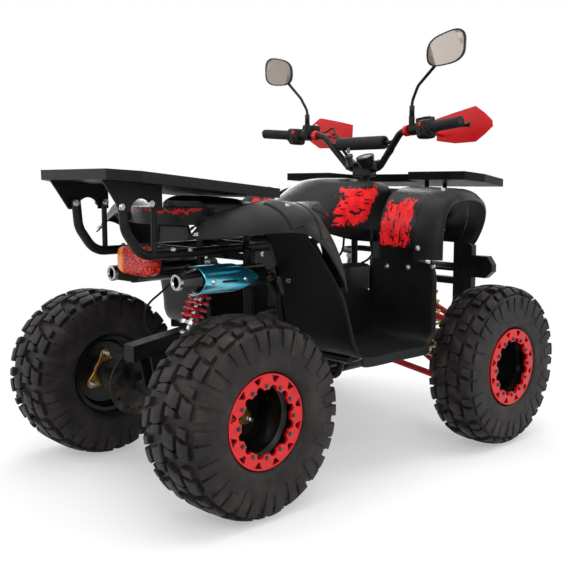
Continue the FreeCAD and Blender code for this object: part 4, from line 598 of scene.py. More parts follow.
def tyre_parts(centre, radius, half_width, lip):
    """The carcass as one closed ring, and its tread tiles."""
    line, outward, across = carcass_line(radius, half_width, lip)
    rows = line[::section_step]
    ribs = rib_height * np.exp(-((np.abs(across[::section_step]) - rib_at) / rib_spread) ** 2)
    skin = rows + outward[::section_step] * ribs[:, None]
    inner = np.linspace(rows[-1], rows[0], 6)[1:-1]
    section = np.vstack([skin, inner])
    turn = np.linspace(0, 2 * np.pi, ring_points, endpoint=False)[:, None]
    carcass = round_wheel(centre, held_in(section[None, :, 0], half_width), section[None, :, 1], turn)
    down_tile = tile_steps[None, None, :, None]
    over_tile = tile_steps[None, None, None, :]
    columns = (tiles[None, :, k, None, None] for k in range(tiles.shape[1]))
    across_from, across_to, begins_from, begins_to, long_from, long_to, bow, height_share = columns
    where = across_from + (across_to - across_from) * over_tile
    begins = begins_from + (begins_to - begins_from) * over_tile
    long = long_from + (long_to - long_from) * over_tile
    along = begins + long * down_tile + bow * 4 * over_tile * (1 - over_tile)
    pillow = np.minimum(tile_rise[None, None, :, None], tile_rise[None, None, None, :])
    rise = lug_height * height_share * pillow
    rise = rise * (1 - shoulder_drop * np.clip((np.abs(where) - shoulder_from) / shoulder_run, 0, 1))
    angle = 2 * np.pi * (np.arange(pitches)[:, None, None, None] + along) / pitches
    where, rise, angle = np.broadcast_arrays(where, rise, angle)
    x = np.interp(where, across, line[:, 0]) + rise * np.interp(where, across, outward[:, 0])
    reach = np.interp(where, across, line[:, 1]) + rise * np.interp(where, across, outward[:, 1])
    blocks = round_wheel(centre, held_in(x, half_width), reach, angle)
    tile = len(tile_steps)
    return [grid_part(carcass, True, True), grid_part(blocks.reshape(-1, tile, tile, 3))]


rear_lip = [(0.935, 0.535), (0.83, 0.497), (0.73, 0.474), (0.62, 0.437)]
front_lip = [(0.955, 0.535), (0.87, 0.498), (0.79, 0.475), (0.68, 0.437)]
rear_tread = tyre_parts(rear_wheel, rear_radius, rear_half_width, rear_lip)
front_tread = tyre_parts(front_wheel, front_radius, front_half_width, front_lip)
new_piece("rear_tyres_tread", mirrored(rear_tread), "rear_axle", "tyre_rubber", stands_for=["rear_tyres"])
for k, side in enumerate(("right", "left")):
    new_piece(f"front_tyre_{side}_tread", [both_sides(part)[k] for part in front_tread],
              f"wheel_front_{side}", "tyre_rubber", stands_for=[f"front_tyre_{side}"])
print("points in a tyre", [sum(len(points) for points, _ in tread) for tread in (rear_tread, front_tread)])

# %% [markdown]
# ## What holds the wheels
# Twelve small bolts sit in the lobes of each red ring. Inside the deep dish a gold three-armed hub plate
# shows, with a nut at the end of each arm, and a castle nut on the axle's end. A bolt is a profile turned
# in six steps, which gives a hexagon for nothing.

# %% Ring bolts
bolt_circle = 0.085
lobes = np.arange(12) * np.pi / 6
# turned profiles: distance along the way, and radius
bolt_profile = [(0, 0.0), (0, 0.0062), (0.0012, 0.0062), (0.0014, 0.0048), (0.0042, 0.0046),
                (0.0048, 0.0036), (0.0048, 0)]
dark_steel = finish("dark_bolt_steel", [(60, 60, 62), (96, 96, 98)], (0.3, 0.45), 40.0, 500.0,
                    0.0002, Metallic=0.9)


def on_circle(x, centre, radius, angles):
    """Points round a wheel's centre, at an x and a radius."""
    return np.stack([np.full(len(angles), x), centre[1] + radius * np.sin(angles),
                     centre[2] + radius * np.cos(angles)], -1)


def ring_bolts(ring, centre):
    """The bolts on the face of a ring, and their mirror images."""
    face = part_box(ring)[1].x
    return both_sides(turned(bolt_profile, on_circle(face, centre, bolt_circle, lobes), (1, 0, 0), 6))


new_piece("rear_ring_bolts", ring_bolts("rear_rings", rear_wheel), "rear_axle", "bright_steel", dark_steel)
for side, part in zip(("right", "left"), ring_bolts("front_ring_right", front_wheel)):
    new_piece(f"front_ring_bolts_{side}", [part], f"wheel_front_{side}", "bright_steel", dark_steel)
print("bolts on a ring", len(lobes))

# %% Hubs
rear_dish, front_dish = 0.292, 0.398  # where the dishes' bottoms lie, from the middle of the object
# a plate's start from the dish, its thickness, the reach of its arms and of its waist
plate_sizes = [(-0.0085, 0.008, 0.070, 0.040), (0.0045, 0.007, 0.068, 0.038)]
rear_nut_circle, front_nut_circle = 0.056, 0.052
outer_nut, inner_nut, front_nut, axle_nut = 0.0115, -0.0085, 0.0045, 0.0095  # their faces from the dish
thirds = np.arange(3) * 2 * np.pi / 3
quarters = np.arange(4) * np.pi / 2 + np.pi / 4
nut_profile = [(0, 0.0), (0, 0.0100), (0.0018, 0.0100), (0.002, 0.0082), (0.0092, 0.0080),
               (0.0104, 0.0066), (0.0104, 0.0034), (0.0138, 0.0030), (0.0138, 0)]
axle_profile = [(0, 0.0), (0, 0.0215), (0.003, 0.0220), (0.0035, 0.0160), (0.0150, 0.0158),
                (0.0168, 0.0136), (0.0168, 0.0085), (0.0215, 0.0078), (0.0215, 0)]
gold = finish("gold_hub_paint", [(120, 88, 34), (168, 128, 60)], (0.28, 0.44), 26.0, 400.0,
              0.0003, Metallic=0.7)


def hub_plate(centre, x, thick, arm, waist):
    """A three-armed plate: its radius swells three times round, and its rim is bevelled. Rings of points
    close it: the middle of one face, both rims and the middle of the other."""
    angle = np.linspace(0, 2 * np.pi, 72, endpoint=False)
    reach = waist + (arm - waist) * (0.5 + 0.5 * np.cos(3 * angle)) ** 3.0
    plate_rows = [(0, 0.2), (0, 0.94), (0.2, 1.0), (0.8, 1.0), (1, 0.94), (1, 0.2)]
    ring = [np.stack([np.full(len(angle), x + thick * up), centre[1] + reach * out * np.sin(angle),
                      centre[2] + reach * out * np.cos(angle)], -1) for up, out in plate_rows]
    return grid_part(np.array(ring), True, True)


plates = [hub_plate(rear_wheel, rear_dish + start, *sizes) for start, *sizes in plate_sizes]
new_piece("rear_hub_plates", mirrored(plates), "rear_axle", "spring_gold", gold)
hub_nuts = [turned(nut_profile, on_circle(rear_dish + face, rear_wheel, rear_nut_circle, thirds), way, 6)
            for face, way in ((outer_nut, (1, 0, 0)), (inner_nut, (-1, 0, 0)))]
hub_nuts.append(turned(axle_profile, (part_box("rear_axle")[1].x, *rear_wheel[1:]), (1, 0, 0), 6))
new_piece("rear_hub_nuts", mirrored(hub_nuts), "rear_axle", "bright_steel")
front_places = on_circle(front_dish + front_nut, front_wheel, front_nut_circle, quarters)
front_nuts = [turned(nut_profile, front_places, (1, 0, 0), 6),
              turned(axle_profile, (front_dish + axle_nut, *front_wheel[1:]), (1, 0, 0), 6)]
for k, side in enumerate(("right", "left")):
    new_piece(f"front_hub_nuts_{side}", [both_sides(part)[k] for part in front_nuts], f"wheel_front_{side}",
              "bright_steel")
print("nuts on a rear hub", 2 * len(thirds) + 1, "and on a front hub", len(quarters) + 1)

# %% [markdown]
# ## Reading the CAD's surfaces
# Bolts and bands must sit exactly on the CAD's faces. A BVH tree is a sorted box of triangles that answers
# where a line first meets a mesh, so each bolt is thrown at its node from a point in front of it and stays
# where it lands. The main axis of a long node, such as a grip, is the direction in which its points spread
# most.

# %% Where lines meet nodes
trees = {}


def tree_of(name):
    """The sorted triangles of a node or of an earlier piece, made once."""
    if name not in trees:
        target = nodes[name] if name in nodes else bpy.data.objects[name]
        trees[name] = BVHTree.FromObject(target, bpy.context.evaluated_depsgraph_get())
    return trees[name]


def meets(name, start, way):
    """Where a line from start first meets a node or a piece."""
    place = tree_of(name).ray_cast(Vector(start), Vector(way).normalized())[0]
    if place is None:
        raise ValueError(f"nothing of {name} is met from {tuple(start)}")
    return np.array(place)


def axis_of(name, side):
    """The middle of a long node's right or left half, its direction, half length and radius. The direction
    is the first axis of its points' spread, from a singular value decomposition."""
    points = points_of(nodes[name].data)
    points = points[points[:, 0] * side > 0]
    middle = (points.max(0) + points.min(0)) / 2
    way = np.linalg.svd(points - points.mean(0), full_matrices=False)[2][0]
    way = way * np.sign(way[0])
    reach = (points - middle) @ way
    off = np.linalg.norm(points - middle - reach[:, None] * way, axis=1)
    return middle, way, (reach.max() - reach.min()) / 2, off.max()


print("axis of the right grip", [np.round(value, 3) for value in axis_of("grips", 1)])

# %% [markdown]
# ## Bolts and lumps
# Two forms come back all over this object. A bolt is a round washer with a hexagon head on it, both turned
# from a profile. A lump is a box with round corners, such as a switch housing or a clamp cap.

# %% Bolts and lumps
washer_profile = [(-0.002, 0), (-0.002, 0.0085), (0.0007, 0.0085), (0.0012, 0.0078), (0.0012, 0)]
washer_rise = 0.001  # the head stands on its washer
head_profile = [(0, 0), (0, 0.0058), (0.0034, 0.0058), (0.0042, 0.0048), (0.0042, 0.0026),
                (0.0028, 0.0022), (0.0028, 0)]


def bolts_on(name, spots, size=1.0):
    """Hexagon bolts with washers. A spot is (node, start, way): the bolt lands where that line meets the
    node."""
    places = np.array([meets(*spot) for spot in spots])
    ways = np.array([-np.array(Vector(way).normalized()) for _, _, way in spots])
    parts = [turned(np.array(washer_profile) * size, places, ways, 16),
             turned(np.array(head_profile) * size, places + ways * washer_rise * size, ways, 6)]
    print(name, len(spots))
    return new_piece(name, parts, "chassis", "bright_steel")


def lump(middle, size, power=0.4, rows=9, columns=20, ways=np.eye(3)):
    """A box with round corners: a sphere's sines and cosines raised to a power below 1. The ways are its
    own three directions, and size its full extents along them."""
    rise_angle = np.linspace(-np.pi / 2, np.pi / 2, rows)[:, None]
    round_angle = np.linspace(0, 2 * np.pi, columns, endpoint=False)[None]
    waves = [np.cos(rise_angle), np.sin(rise_angle), np.cos(round_angle), np.sin(round_angle)]
    out, up, ahead_share, side_share = [np.sign(wave) * np.abs(wave) ** power for wave in waves]
    spot = np.stack([out * ahead_share, out * side_share, up + 0 * round_angle], -1)
    spot[[0, -1], :, :2] = 0
    corners = (spot * np.asarray(size) / 2) @ np.asarray(ways, float)
    return grid_part(np.asarray(middle, float) + corners, wrap_columns=True)


print("a bolt's height", washer_rise + head_profile[3][0])

# %% [markdown]
# ## Seat and bar pad: foam under vinyl
# Both are foam under a cover pulled tight, so they are crowned and their edges roll over. Modelling that by
# hand looks stiff. Here the CAD solid is copied, evened out into small squares, shrunk a little, and blown
# up from inside as cloth, with gravity off. No point may move further than a cap, so the pad keeps its
# outline, and the underside stays where it rests. Before that, the seat's height is scaled along its length,
# so that its front slopes down towards the tank, and the bar's pad is made thicker.

# %% Padded pieces
foam_pressure = 4.0
foam_frames = 20
level_heights = ((0, 1), (1, 1))


def evened(piece, voxel):
    """Builds a piece's mesh again from small squares of one size."""
    remesh = piece.modifiers.new("even", "REMESH")
    remesh.mode = "VOXEL"
    remesh.voxel_size = voxel
    piece.data = baked(piece)
    piece.modifiers.clear()


def swollen(piece, start, free, cap):
    """Where cloth pressure takes the points from their start, each by its free share and by the cap at
    most."""
    cloth = piece.modifiers.new("foam", "CLOTH")
    cloth.settings.use_pressure = True
    cloth.settings.uniform_pressure_force = foam_pressure
    cloth.settings.effector_weights.gravity = 0.0
    for frame_number in range(1, foam_frames + 1):
        scene.frame_set(frame_number)
    move = (points_of(baked(piece)) - start) * free
    length = np.linalg.norm(move, axis=1, keepdims=True)
    move *= np.minimum(1, cap / np.maximum(length, 1e-9))
    piece.modifiers.clear()
    scene.frame_set(1)
    print(piece.name, "most moved", round(float(np.linalg.norm(move, axis=1).max()), 4))
    return start + move


def blown_up(name, node, slot, shrink, voxel, cap, floor_share, heights=level_heights, thick=1.0):
    """A padded copy of a CAD node: remeshed, shrunk along its normals, inflated by cloth pressure and
    smoothed once. Points in the lowest share of its height are held down. Heights scale its height along
    its length, from back to front, and thick scales it round its own middle, along the object's length
    and height."""
    mesh = nodes[node].data.copy()
    spots = points_of(mesh)
    middle = (spots.min(0) + spots.max(0)) / 2
    spots = middle + (spots - middle) * (1, thick, thick)
    share = (spots[:, 1] - spots[:, 1].min()) / np.ptp(spots[:, 1])
    floor_z = spots[:, 2].min()
    spots[:, 2] = floor_z + (spots[:, 2] - floor_z) * np.interp(share, *np.array(heights).T)
    mesh.vertices.foreach_set("co", spots.ravel())
    merge(mesh, copy_merge)
    piece = bpy.data.objects.new(name, mesh)
    scene.collection.objects.link(piece)
    evened(piece, voxel)
    even = piece.data
    start = points_of(even) - shrink * points_of(even, "normal")
    low, high = start[:, 2].min(), start[:, 2].max()
    free = np.clip((start[:, 2] - low) / (high - low) / floor_share - 0.5, 0, 1)[:, None]
    even.vertices.foreach_set("co", start.ravel())
    even.vertices.foreach_set("co", swollen(piece, start, free, cap).ravel())
    even.shade_smooth()
    rounding = piece.modifiers.new("rounding", "SUBSURF")
    rounding.levels = rounding.render_levels = 1
    coat(even, finishes[slot])
    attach(piece, "steering" if node == "bar_pad" else "chassis")
    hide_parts(node)
    return piece


# %% Seat and bar pad
seat_line = [(0.0, 1.0), (0.34, 1.0), (0.60, 0.80), (0.84, 0.58), (1.0, 0.53)]
seat_pad = blown_up("seat_padding", "seat", "seat_vinyl", shrink=0.005, voxel=0.0065, cap=0.007,
                    floor_share=0.3, heights=seat_line)
bar_foam = blown_up("bar_padding", "bar_pad", slot_of["bar_pad"], shrink=0.0025, voxel=0.004, cap=0.004,
                    floor_share=0.02, thick=1.4)
print("padded", len(seat_pad.data.vertices), len(bar_foam.data.vertices))

# %% [markdown]
# ## Splashes of red on the bodywork
# The bodywork carries plain red splashes: one on the tank's side and one on the rear wall of each front
# fender. A narrow one wraps the tail. They are laid in the material, inside a slanted window on Object
# coordinates. Noise frays the window's edge, and a second noise, stretched along one way, scratches black
# streaks through the red.

# %% Red splashes
fray_reach = 0.020
window_edge = 0.003
splash_clouds, streak_clouds = 30.0, 70.0  # to the metre
streak_low, streak_high = 0.58, 0.61
red_tones = [(0.35, (196, 14, 22)), (0.65, (222, 36, 40))]


def axes_of(material):
    """The three Object coordinates, each as its own value."""
    return add(material, "ShaderNodeSeparateXYZ", {"Vector": place_on(material)}).outputs


def splashed(base, name, x_range, y_range, z_range, lean, streak_way):
    """A copy of a finish with red inside a window; y is read at a lean, so the window is slanted."""
    material = finishes[base].copy()
    material.name = name
    axes = axes_of(material)
    rough_edge = noise(material, place_on(material), splash_clouds, 8.0, 0.75)
    fray = ranged(material, rough_edge, cloud_low, cloud_high, -fray_reach, fray_reach)
    away = reckoned(material, "ADD", reckoned(material, "ABSOLUTE", axes["X"]), fray)
    height = reckoned(material, "ADD", axes["Z"], fray)
    length = reckoned(material, "ADD", reckoned(material, "ADD", axes["Y"], fray),
                      reckoned(material, "MULTIPLY", axes["Z"], lean))
    streaks = noise(material, place_on(material, streak_way), streak_clouds, 3.0, 0.5)
    kept = ranged(material, streaks, streak_low, streak_high, 1, 0)
    for value, limits in ((away, x_range), (height, z_range), (length, y_range)):
        kept = reckoned(material, "MULTIPLY", kept, within(material, value, *limits, window_edge))
    tone = toned(material, noise(material, place_on(material), splash_clouds), red_tones)
    feed(material, "Base Color", blended(material, kept, colour_of(material), tone))
    return material


tank_start = float(ahead(0, 0.545, 0)[1])
tank_paint = splashed(slot_of["tank_cover"], "tank_with_splash", (0.06, 0.30),
                      (tank_start - 0.555, tank_start - 0.435), (0.668, 0.776), -0.75, (1.0, 0.4, 1.6))
fender_start = float(ahead(0, 0.59, 0)[1])
fender_paint = splashed(slot_of["front_fender"], "fender_with_splash", (0.250, 0.352),
                        (fender_start, fender_start + 0.12), (0.612, 0.738), 0.0, (2.0, 1.0, 0.5))
tail_start = float(ahead(0, -0.06, 0)[1])
tail_paint = splashed(slot_of["rear_fender"], "tail_with_splash", (-0.02, 0.16),
                      (tail_start, tail_start + 0.085), (0.7160, 0.7235), 0.0, (0.3, 0.3, 1.4))
for name, paint in (("tank_cover", tank_paint), ("front_fender", fender_paint), ("rear_fender", tail_paint)):
    nodes[name].data.materials[0] = paint
flat_paint = nodes["front_rack"].data.materials[0].copy()
nodes["front_rack"].data.materials[0] = flat_paint
for paint, gloss in ((tank_paint, 0.08), (flat_paint, 0.015)):
    shader_of(paint).inputs["Specular IOR Level"].default_value = gloss
print("splashes on", tank_paint.name, fender_paint.name, tail_paint.name)

# %% [markdown]
# ## Mirrors, tail lamp and exhaust tips
# The mirror glass's colour is a painted reflection: a pale grey sky with faint darker lines across it. The
# tail lamp is a rounded lens moulded in small prisms, amber at its left end, with painted glints in the
# prisms. Each muffler ends in a polished ring.

# %% Mirror lines
# painted reflection: faint darker lines across the pale grey sky painted on the mirror
line_waves = 1500.0  # radians to the metre, which puts the lines 4.2 mm apart
painted_reflection = finishes["mirror_face"]
rows_at = reckoned(painted_reflection, "MULTIPLY", axes_of(painted_reflection)["Z"], line_waves)
rows_wave = ranged(painted_reflection, reckoned(painted_reflection, "SINE", rows_at), -1, 1, 0, 1)
line_share = ranged(painted_reflection, rows_wave, 0.55, 0.95, 0, 0.45)
feed(painted_reflection, "Base Color", blended(painted_reflection, line_share, colour_of(painted_reflection), linear(118, 110, 104)))
print("millimetres between lines", round(2000 * math.pi / line_waves, 1))

# %% Tail lens
prisms_per_metre = 150.0
lens = finishes["lamp_red"]
prism_cells = add(lens, "ShaderNodeTexVoronoi", {"Vector": place_on(lens), "Scale": prisms_per_metre})
cells = prism_cells.outputs["Distance"]
prisms = add(lens, "ShaderNodeBump", {"Height": cells, "Strength": 0.8, "Distance": 0.002})
feed(lens, "Normal", prisms.outputs["Normal"])
# painted glints: each prism is pale orange at its middle and deep red at its edges, as if lit
painted_glints = toned(lens, cells, [(0.03, (255, 132, 48)), (0.2, (222, 34, 8)), (0.7, (128, 6, 2))])
amber_whole, amber_gone = -0.050, -0.038
amber = ranged(lens, axes_of(lens)["X"], amber_whole, amber_gone, 1, 0)
feed(lens, "Base Color", blended(lens, amber, painted_glints, linear(236, 128, 34)))

lamp_low, lamp_high = (np.array(corner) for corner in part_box("tail_lamp"))
lamp_size = lamp_high - lamp_low
new_piece("tail_lens", [lump((lamp_low + lamp_high) / 2, lamp_size, 0.5, 13, 32)], "chassis", "lamp_red",
          stands_for=["tail_lamp"], sharp=80)
print("lamp", np.round(lamp_size, 3))

# %% Exhaust tip rings
muffler_x, muffler_z = 0.150, 0.545
tip_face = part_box("mufflers")[0].y
tip_gap = 0.0003
tip_profile = [(-0.004, 0.0150), (-0.004, 0.0196), (-0.0025, 0.0212), (0.0060, 0.0212), (0.0075, 0.0190),
               (0.0002, 0.0132), (-0.004, 0.0150)]
tip_ring = turned(tip_profile, (muffler_x, tip_face + tip_gap, muffler_z), (0, 1, 0), 32)
new_piece("exhaust_tip_rings", both_sides(tip_ring), "chassis", "bright_steel")
print("tip plane", round(tip_face - rear_wheel.y, 4))

# %% [markdown]
# ## Grips
# Each grip is moulded rubber with a collar at its inner end and fine ribs round it. All of it is one profile
# turned round the bar's own line, because that gives every rib without any modelling by hand.

# %% Ribbed grips
rib_pitch = 0.006
plain_end = 0.010  # the ribs stop short of both ends
grip_radius = 0.016
grip_bore = 0.0115
groove = 0.0010
rib = np.array([(0, -groove), (0.001, 0), (0.004, 0), (0.005, -groove)])
grip_parts = []
for side in (1, -1):
    middle, way, half, widest = axis_of("grips", side)
    outward = way * side
    length = 2 * half
    steps = np.arange(plain_end, length - plain_end, rib_pitch)
    ribs = rib + np.stack([steps, np.full(len(steps), grip_radius)], -1)[:, None]
    collar = [(0, grip_bore), (0, widest - 0.001), (0.003, widest), (0.006, widest - 0.001),
              (0.008, grip_radius)]
    tip = [(length - 0.004, grip_radius), (length - 0.001, grip_radius - 0.001),
           (length, grip_radius - 0.004), (length, grip_bore)]
    profile = np.vstack([collar, ribs.reshape(-1, 2), tip])
    grip_parts.append(turned(profile, middle - outward * half, outward, 28))
new_piece("grips_ribbed", grip_parts, "steering", slot_of["grips"], stands_for=["grips"])
print("ribs on a grip", len(steps))

# %% [markdown]
# ## The steering head
# Between the bar's risers sit a round gauge with a dark face, a key switch and two clamp caps with their
# bolts. The gauge and the switch are turned profiles that lean to the rider, and the caps are lumps. The
# gauge's ticks are in its material: the sine of twenty times the angle round its middle has twenty peaks.

# %% Gauge and switch
head_way = np.array(Vector((0, -0.35, 0.94)).normalized())  # the gauge and the key lean to the rider
gauge_place = ahead(0.030, 0.775, 0.868)
gauge_profile = [(-0.030, 0), (-0.030, 0.020), (-0.016, 0.027), (-0.002, 0.0285), (0.002, 0.0295),
                 (0.006, 0.0295), (0.007, 0.0270), (0.004, 0.0262), (0.004, 0)]
glass_profile = [(0.0038, 0), (0.0038, 0.0262), (0.0048, 0.0262), (0.0052, 0.020), (0.0052, 0)]
key_place = ahead(-0.030, 0.765, 0.868)
key_profile = [(-0.026, 0), (-0.026, 0.011), (0.0, 0.011), (0.002, 0.014), (0.010, 0.014), (0.012, 0.012),
               (0.012, 0.0085), (0.009, 0.0080), (0.009, 0)]
key_blade = lump(ahead(-0.030, 0.760, 0.893), (0.014, 0.003, 0.018), 0.5)
new_piece("gauge_body", [turned(gauge_profile, gauge_place, head_way, 32)], "steering", "black_plastic")
new_piece("key_switch", [turned(key_profile, key_place, head_way, 24), key_blade], "steering",
          "bright_steel", dark_steel)
print("gauge at", np.round(gauge_place, 3))

# %% Gauge face
tick_count = 20.0
gauge_face = finish("gauge_face", [(14, 15, 17), (24, 26, 29)], (0.3, 0.4), 20.0, 300.0, 0.00002,
                    Specular_IOR_Level=0.2)
face_axes = axes_of(gauge_face)
face_x = reckoned(gauge_face, "SUBTRACT", face_axes["X"], float(gauge_place[0]))
face_y = reckoned(gauge_face, "SUBTRACT", face_axes["Y"], float(gauge_place[1]))
round_face = reckoned(gauge_face, "ARCTAN2", face_x, face_y)
ticks = reckoned(gauge_face, "SINE", reckoned(gauge_face, "MULTIPLY", round_face, tick_count))
tick_share = ranged(gauge_face, ticks, 0.90, 0.96, 0, 1)
feed(gauge_face, "Base Color",
     blended(gauge_face, tick_share, colour_of(gauge_face), linear(210, 210, 206)))
new_piece("gauge_glass", [turned(glass_profile, gauge_place, head_way, 32)], "steering", "black_plastic",
          gauge_face)
print("ticks round the gauge", int(tick_count))

# %% Clamp caps
cap_x, cap_y, cap_z, cap_top, bolt_step = 0.052, 0.800, 0.846, 0.860, 0.013
clamp_caps = [lump(ahead(side * cap_x, cap_y, cap_z), (0.026, 0.040, 0.030), 0.35) for side in (1, -1)]
new_piece("bar_clamp_caps", clamp_caps, "steering", "bright_steel", finishes["cast_aluminium"])
cap_bolts = [turned(head_profile, ahead(side * cap_x, cap_y + way * bolt_step, cap_top), (0, 0, 1), 6)
             for side in (1, -1) for way in (1, -1)]
new_piece("bar_clamp_bolts", cap_bolts, "steering", "bright_steel")
print("clamp bolts", len(cap_bolts))

# %% [markdown]
# ## Switches, reservoirs and cables at the bar's ends
# On each side the bar carries a switch housing with its buttons and a brake reservoir with a screwed lid. A
# housing is a rounded box clamped round the bar, so it is built along the grip's own axis, and its buttons
# stand out towards the rider. The cables leave the perches, loop ahead of the bar and run back along it to
# the steering head, where they are tied, so they turn with the bar and hang on nothing.

# %% Bar fittings
# places are outwards, forwards and up from the grip's inner end; then come size, roundness, rows, columns
housings = [((-0.024, 0.0, -0.004), (0.046, 0.050, 0.056), 0.42, 11, 28),
            ((-0.062, 0.020, 0.004), (0.030, 0.046, 0.036), 0.40, 9, 24)]
lid = ((-0.060, 0.030, 0.028), (0.056, 0.036, 0.020), 0.3, 9, 24)
lid_bolt_places = [(-0.040, 0.030, 0.0378), (-0.080, 0.030, 0.0378)]
lid_bolt_size = 0.7
button_places = [(-0.024, -0.024, 0.010), (-0.024, -0.024, -0.006), (-0.024, -0.024, -0.020)]
button_profile = [(-0.004, 0), (-0.004, 0.006), (0.003, 0.006), (0.0042, 0.005), (0.0042, 0)]


def bar_end(side):
    """A grip's inner end, and its ways outwards, forwards and up as three rows."""
    middle, way, half, _ = axis_of("grips", side)
    outward = way * side
    up = np.array([0, 0, 1.0]) - outward * outward[2]
    up = up / np.linalg.norm(up)
    return middle - outward * half, np.array([outward, np.cross(up, outward) * side, up])


switch_parts, lid_parts, lid_bolts, red_buttons = [], [], [], []
for side in (1, -1):
    root, ways = bar_end(side)
    switch_parts += [lump(root + place @ ways, *shape, ways) for place, *shape in housings]
    lid_parts.append(lump(root + lid[0] @ ways, *lid[1:], ways))
    for place in lid_bolt_places:
        lid_bolts.append(turned(np.array(head_profile) * lid_bolt_size, root + place @ ways, ways[2], 6))
    buttons = [turned(button_profile, root + place @ ways, -ways[1], 14) for place in button_places]
    red_buttons.append(buttons[0])
    switch_parts += buttons[1:]
new_piece("switch_housings", switch_parts, "steering", "black_plastic")
new_piece("reservoir_lids", lid_parts, "steering", "black_plastic", finishes["grip_rubber"])
new_piece("reservoir_bolts", lid_bolts, "steering", "bright_steel")
new_piece("red_buttons", red_buttons, "steering", "red_plastic")
print("buttons", 2 * len(button_places))

# %% Control cables
control_radius = 0.0031
perch_place = (-0.074, 0.030, 0.0)


def control_line(side, k):
    """The route of the first or the second cable, from its perch to the steering head."""
    root, ways = bar_end(side)
    perch = root + perch_place @ ways
    from_perch = [(0, 0, 0.012 * k), (-0.022, 0.030, 0.012 * k + 0.004),
                  (-0.050, 0.052 - 0.012 * k, 0.012 + 0.02 * k)]
    along_bar = [(0.135, 0.826 - 0.010 * k, 0.940 - 0.004 * k), (0.100, 0.822, 0.890 - 0.006 * k),
                 (0.050, 0.822 + 0.006 * k, 0.855), (0.020, 0.820 + 0.006 * k, 0.838)]
    return [perch + step @ ways for step in from_perch] + [ahead(side * x, y, z) for x, y, z in along_bar]


cables = [tube(smooth_line(control_line(side, k), 60), control_radius) for side in (1, -1) for k in (0, 1)]
new_piece("bar_cables", cables, "steering", slot_of["controls"], finishes["grip_rubber"])
print("cables", len(cables))

# %% [markdown]
# ## The rear brake's cable
# This one is the object's own cable: it leaves the frame, hangs in a bow behind the swing arm and ends in
# the caliper. It is a smooth NURBS line through the same route as the CAD's, and it replaces the CAD tube.

# %% Brake cable
cable_radius = 0.003
cable_route = [(-0.040, 0.120, 0.560), (-0.060, 0.060, 0.500), (-0.104, 0.020, 0.452),
               (-0.128, 0.034, 0.400)]
cable_foot = ahead(-0.118, 0.050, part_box("brake_cable")[0].z)
straight_end = (0, 0, 0.0256)  # the cable's last stretch stands upright in the caliper
cable_spots = [ahead(*spot) for spot in cable_route] + [cable_foot + straight_end, cable_foot]
cable_data = bpy.data.curves.new("brake_cable_line", "CURVE")
cable_data.dimensions = "3D"
cable_data.bevel_depth = cable_radius
cable_data.bevel_resolution = 3
cable_data.use_fill_caps = True
spline = cable_data.splines.new("NURBS")
spline.points.add(len(cable_spots) - 1)
for point, spot in zip(spline.points, cable_spots):
    point.co = (*spot, 1)
spline.order_u = 3
spline.use_endpoint_u = True
spline.resolution_u = 12
cable_data.materials.append(finishes["grip_rubber"])
brake_cable = bpy.data.objects.new("brake_cable_hung", cable_data)
scene.collection.objects.link(brake_cable)
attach(brake_cable, "chassis")
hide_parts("brake_cable")
line_data = cable_data.copy()
line_data.bevel_depth = 0
line_object = bpy.data.objects.new("measure", line_data)
scene.collection.objects.link(line_object)
measured = baked(line_object)
cable_length = float(np.linalg.norm(np.diff(points_of(measured), axis=0), axis=1).sum())
bpy.data.objects.remove(line_object)
bpy.data.meshes.remove(measured)
print("brake cable", round(cable_length, 4))

# %% [markdown]
# ## Sheets and shells that follow the photograph more closely
# Three thin shells get a finer form here than their CAD solids have. A shell is one open grid or more, and
# Solidify gives it its wall. Thick blocks would need every edge cut twice, once for each skin.

# %% Shells


def shell(name, parts, node, wall, slot, material=None, offset=-1.0):
    """One open grid or more with a wall of one thickness, in place of a CAD node. The wall lies inside the
    grid at an offset of -1, and on both its sides at 0."""
    piece = new_piece(name, parts, "chassis", slot, material, stands_for=[node], sharp=40)
    solid = piece.modifiers.new("wall", "SOLIDIFY")
    solid.thickness = wall
    solid.offset = offset
    return piece


def surface(rows, row_of, row_count, column_count):
    """A grid through control rows: smooth curves run along the rows, and then across them."""
    control = np.array([row_of(*row) for row in rows])
    across = np.stack([smooth_line(line, column_count) for line in control])
    return np.stack([smooth_line(across[:, k], row_count) for k in range(column_count)], 1)


# %% [markdown]
# ## The tank's cover
# The cover rises from a narrow back between the rider's knees to a broad shoulder. It is lofted: a few
# arches stand one behind the other, each between a narrow arch and a broad one, and smooth curves run
# through them.

# %% Tank
tank_wall = 0.0025
tank_half, tank_low, tank_top, tank_back, tank_front = 0.170, 0.612, 0.806, 0.400, 0.764
# share of the length, width, height of the crown, height of the foot, and how near the front arch
tank_rows = [(0.0, 0.80, 0.44, 0.26, 0.0), (0.14, 0.86, 0.60, 0.20, 0.0), (0.27, 0.92, 0.78, 0.14, 0.10),
             (0.40, 0.96, 0.92, 0.08, 0.30), (0.52, 0.99, 0.98, 0.04, 0.60), (0.75, 1.0, 0.99, 0.0, 1.0),
             (1.0, 0.94, 0.95, 0.0, 1.0)]
rear_arch = np.array([(1.0, 0.0), (1.0, 0.20), (0.90, 0.44), (0.70, 0.68), (0.38, 0.92), (0.0, 1.0)])
front_arch = np.array([(1.0, 0.0), (1.0, 0.46), (0.96, 0.74), (0.80, 0.93), (0.42, 0.99), (0.0, 1.0)])


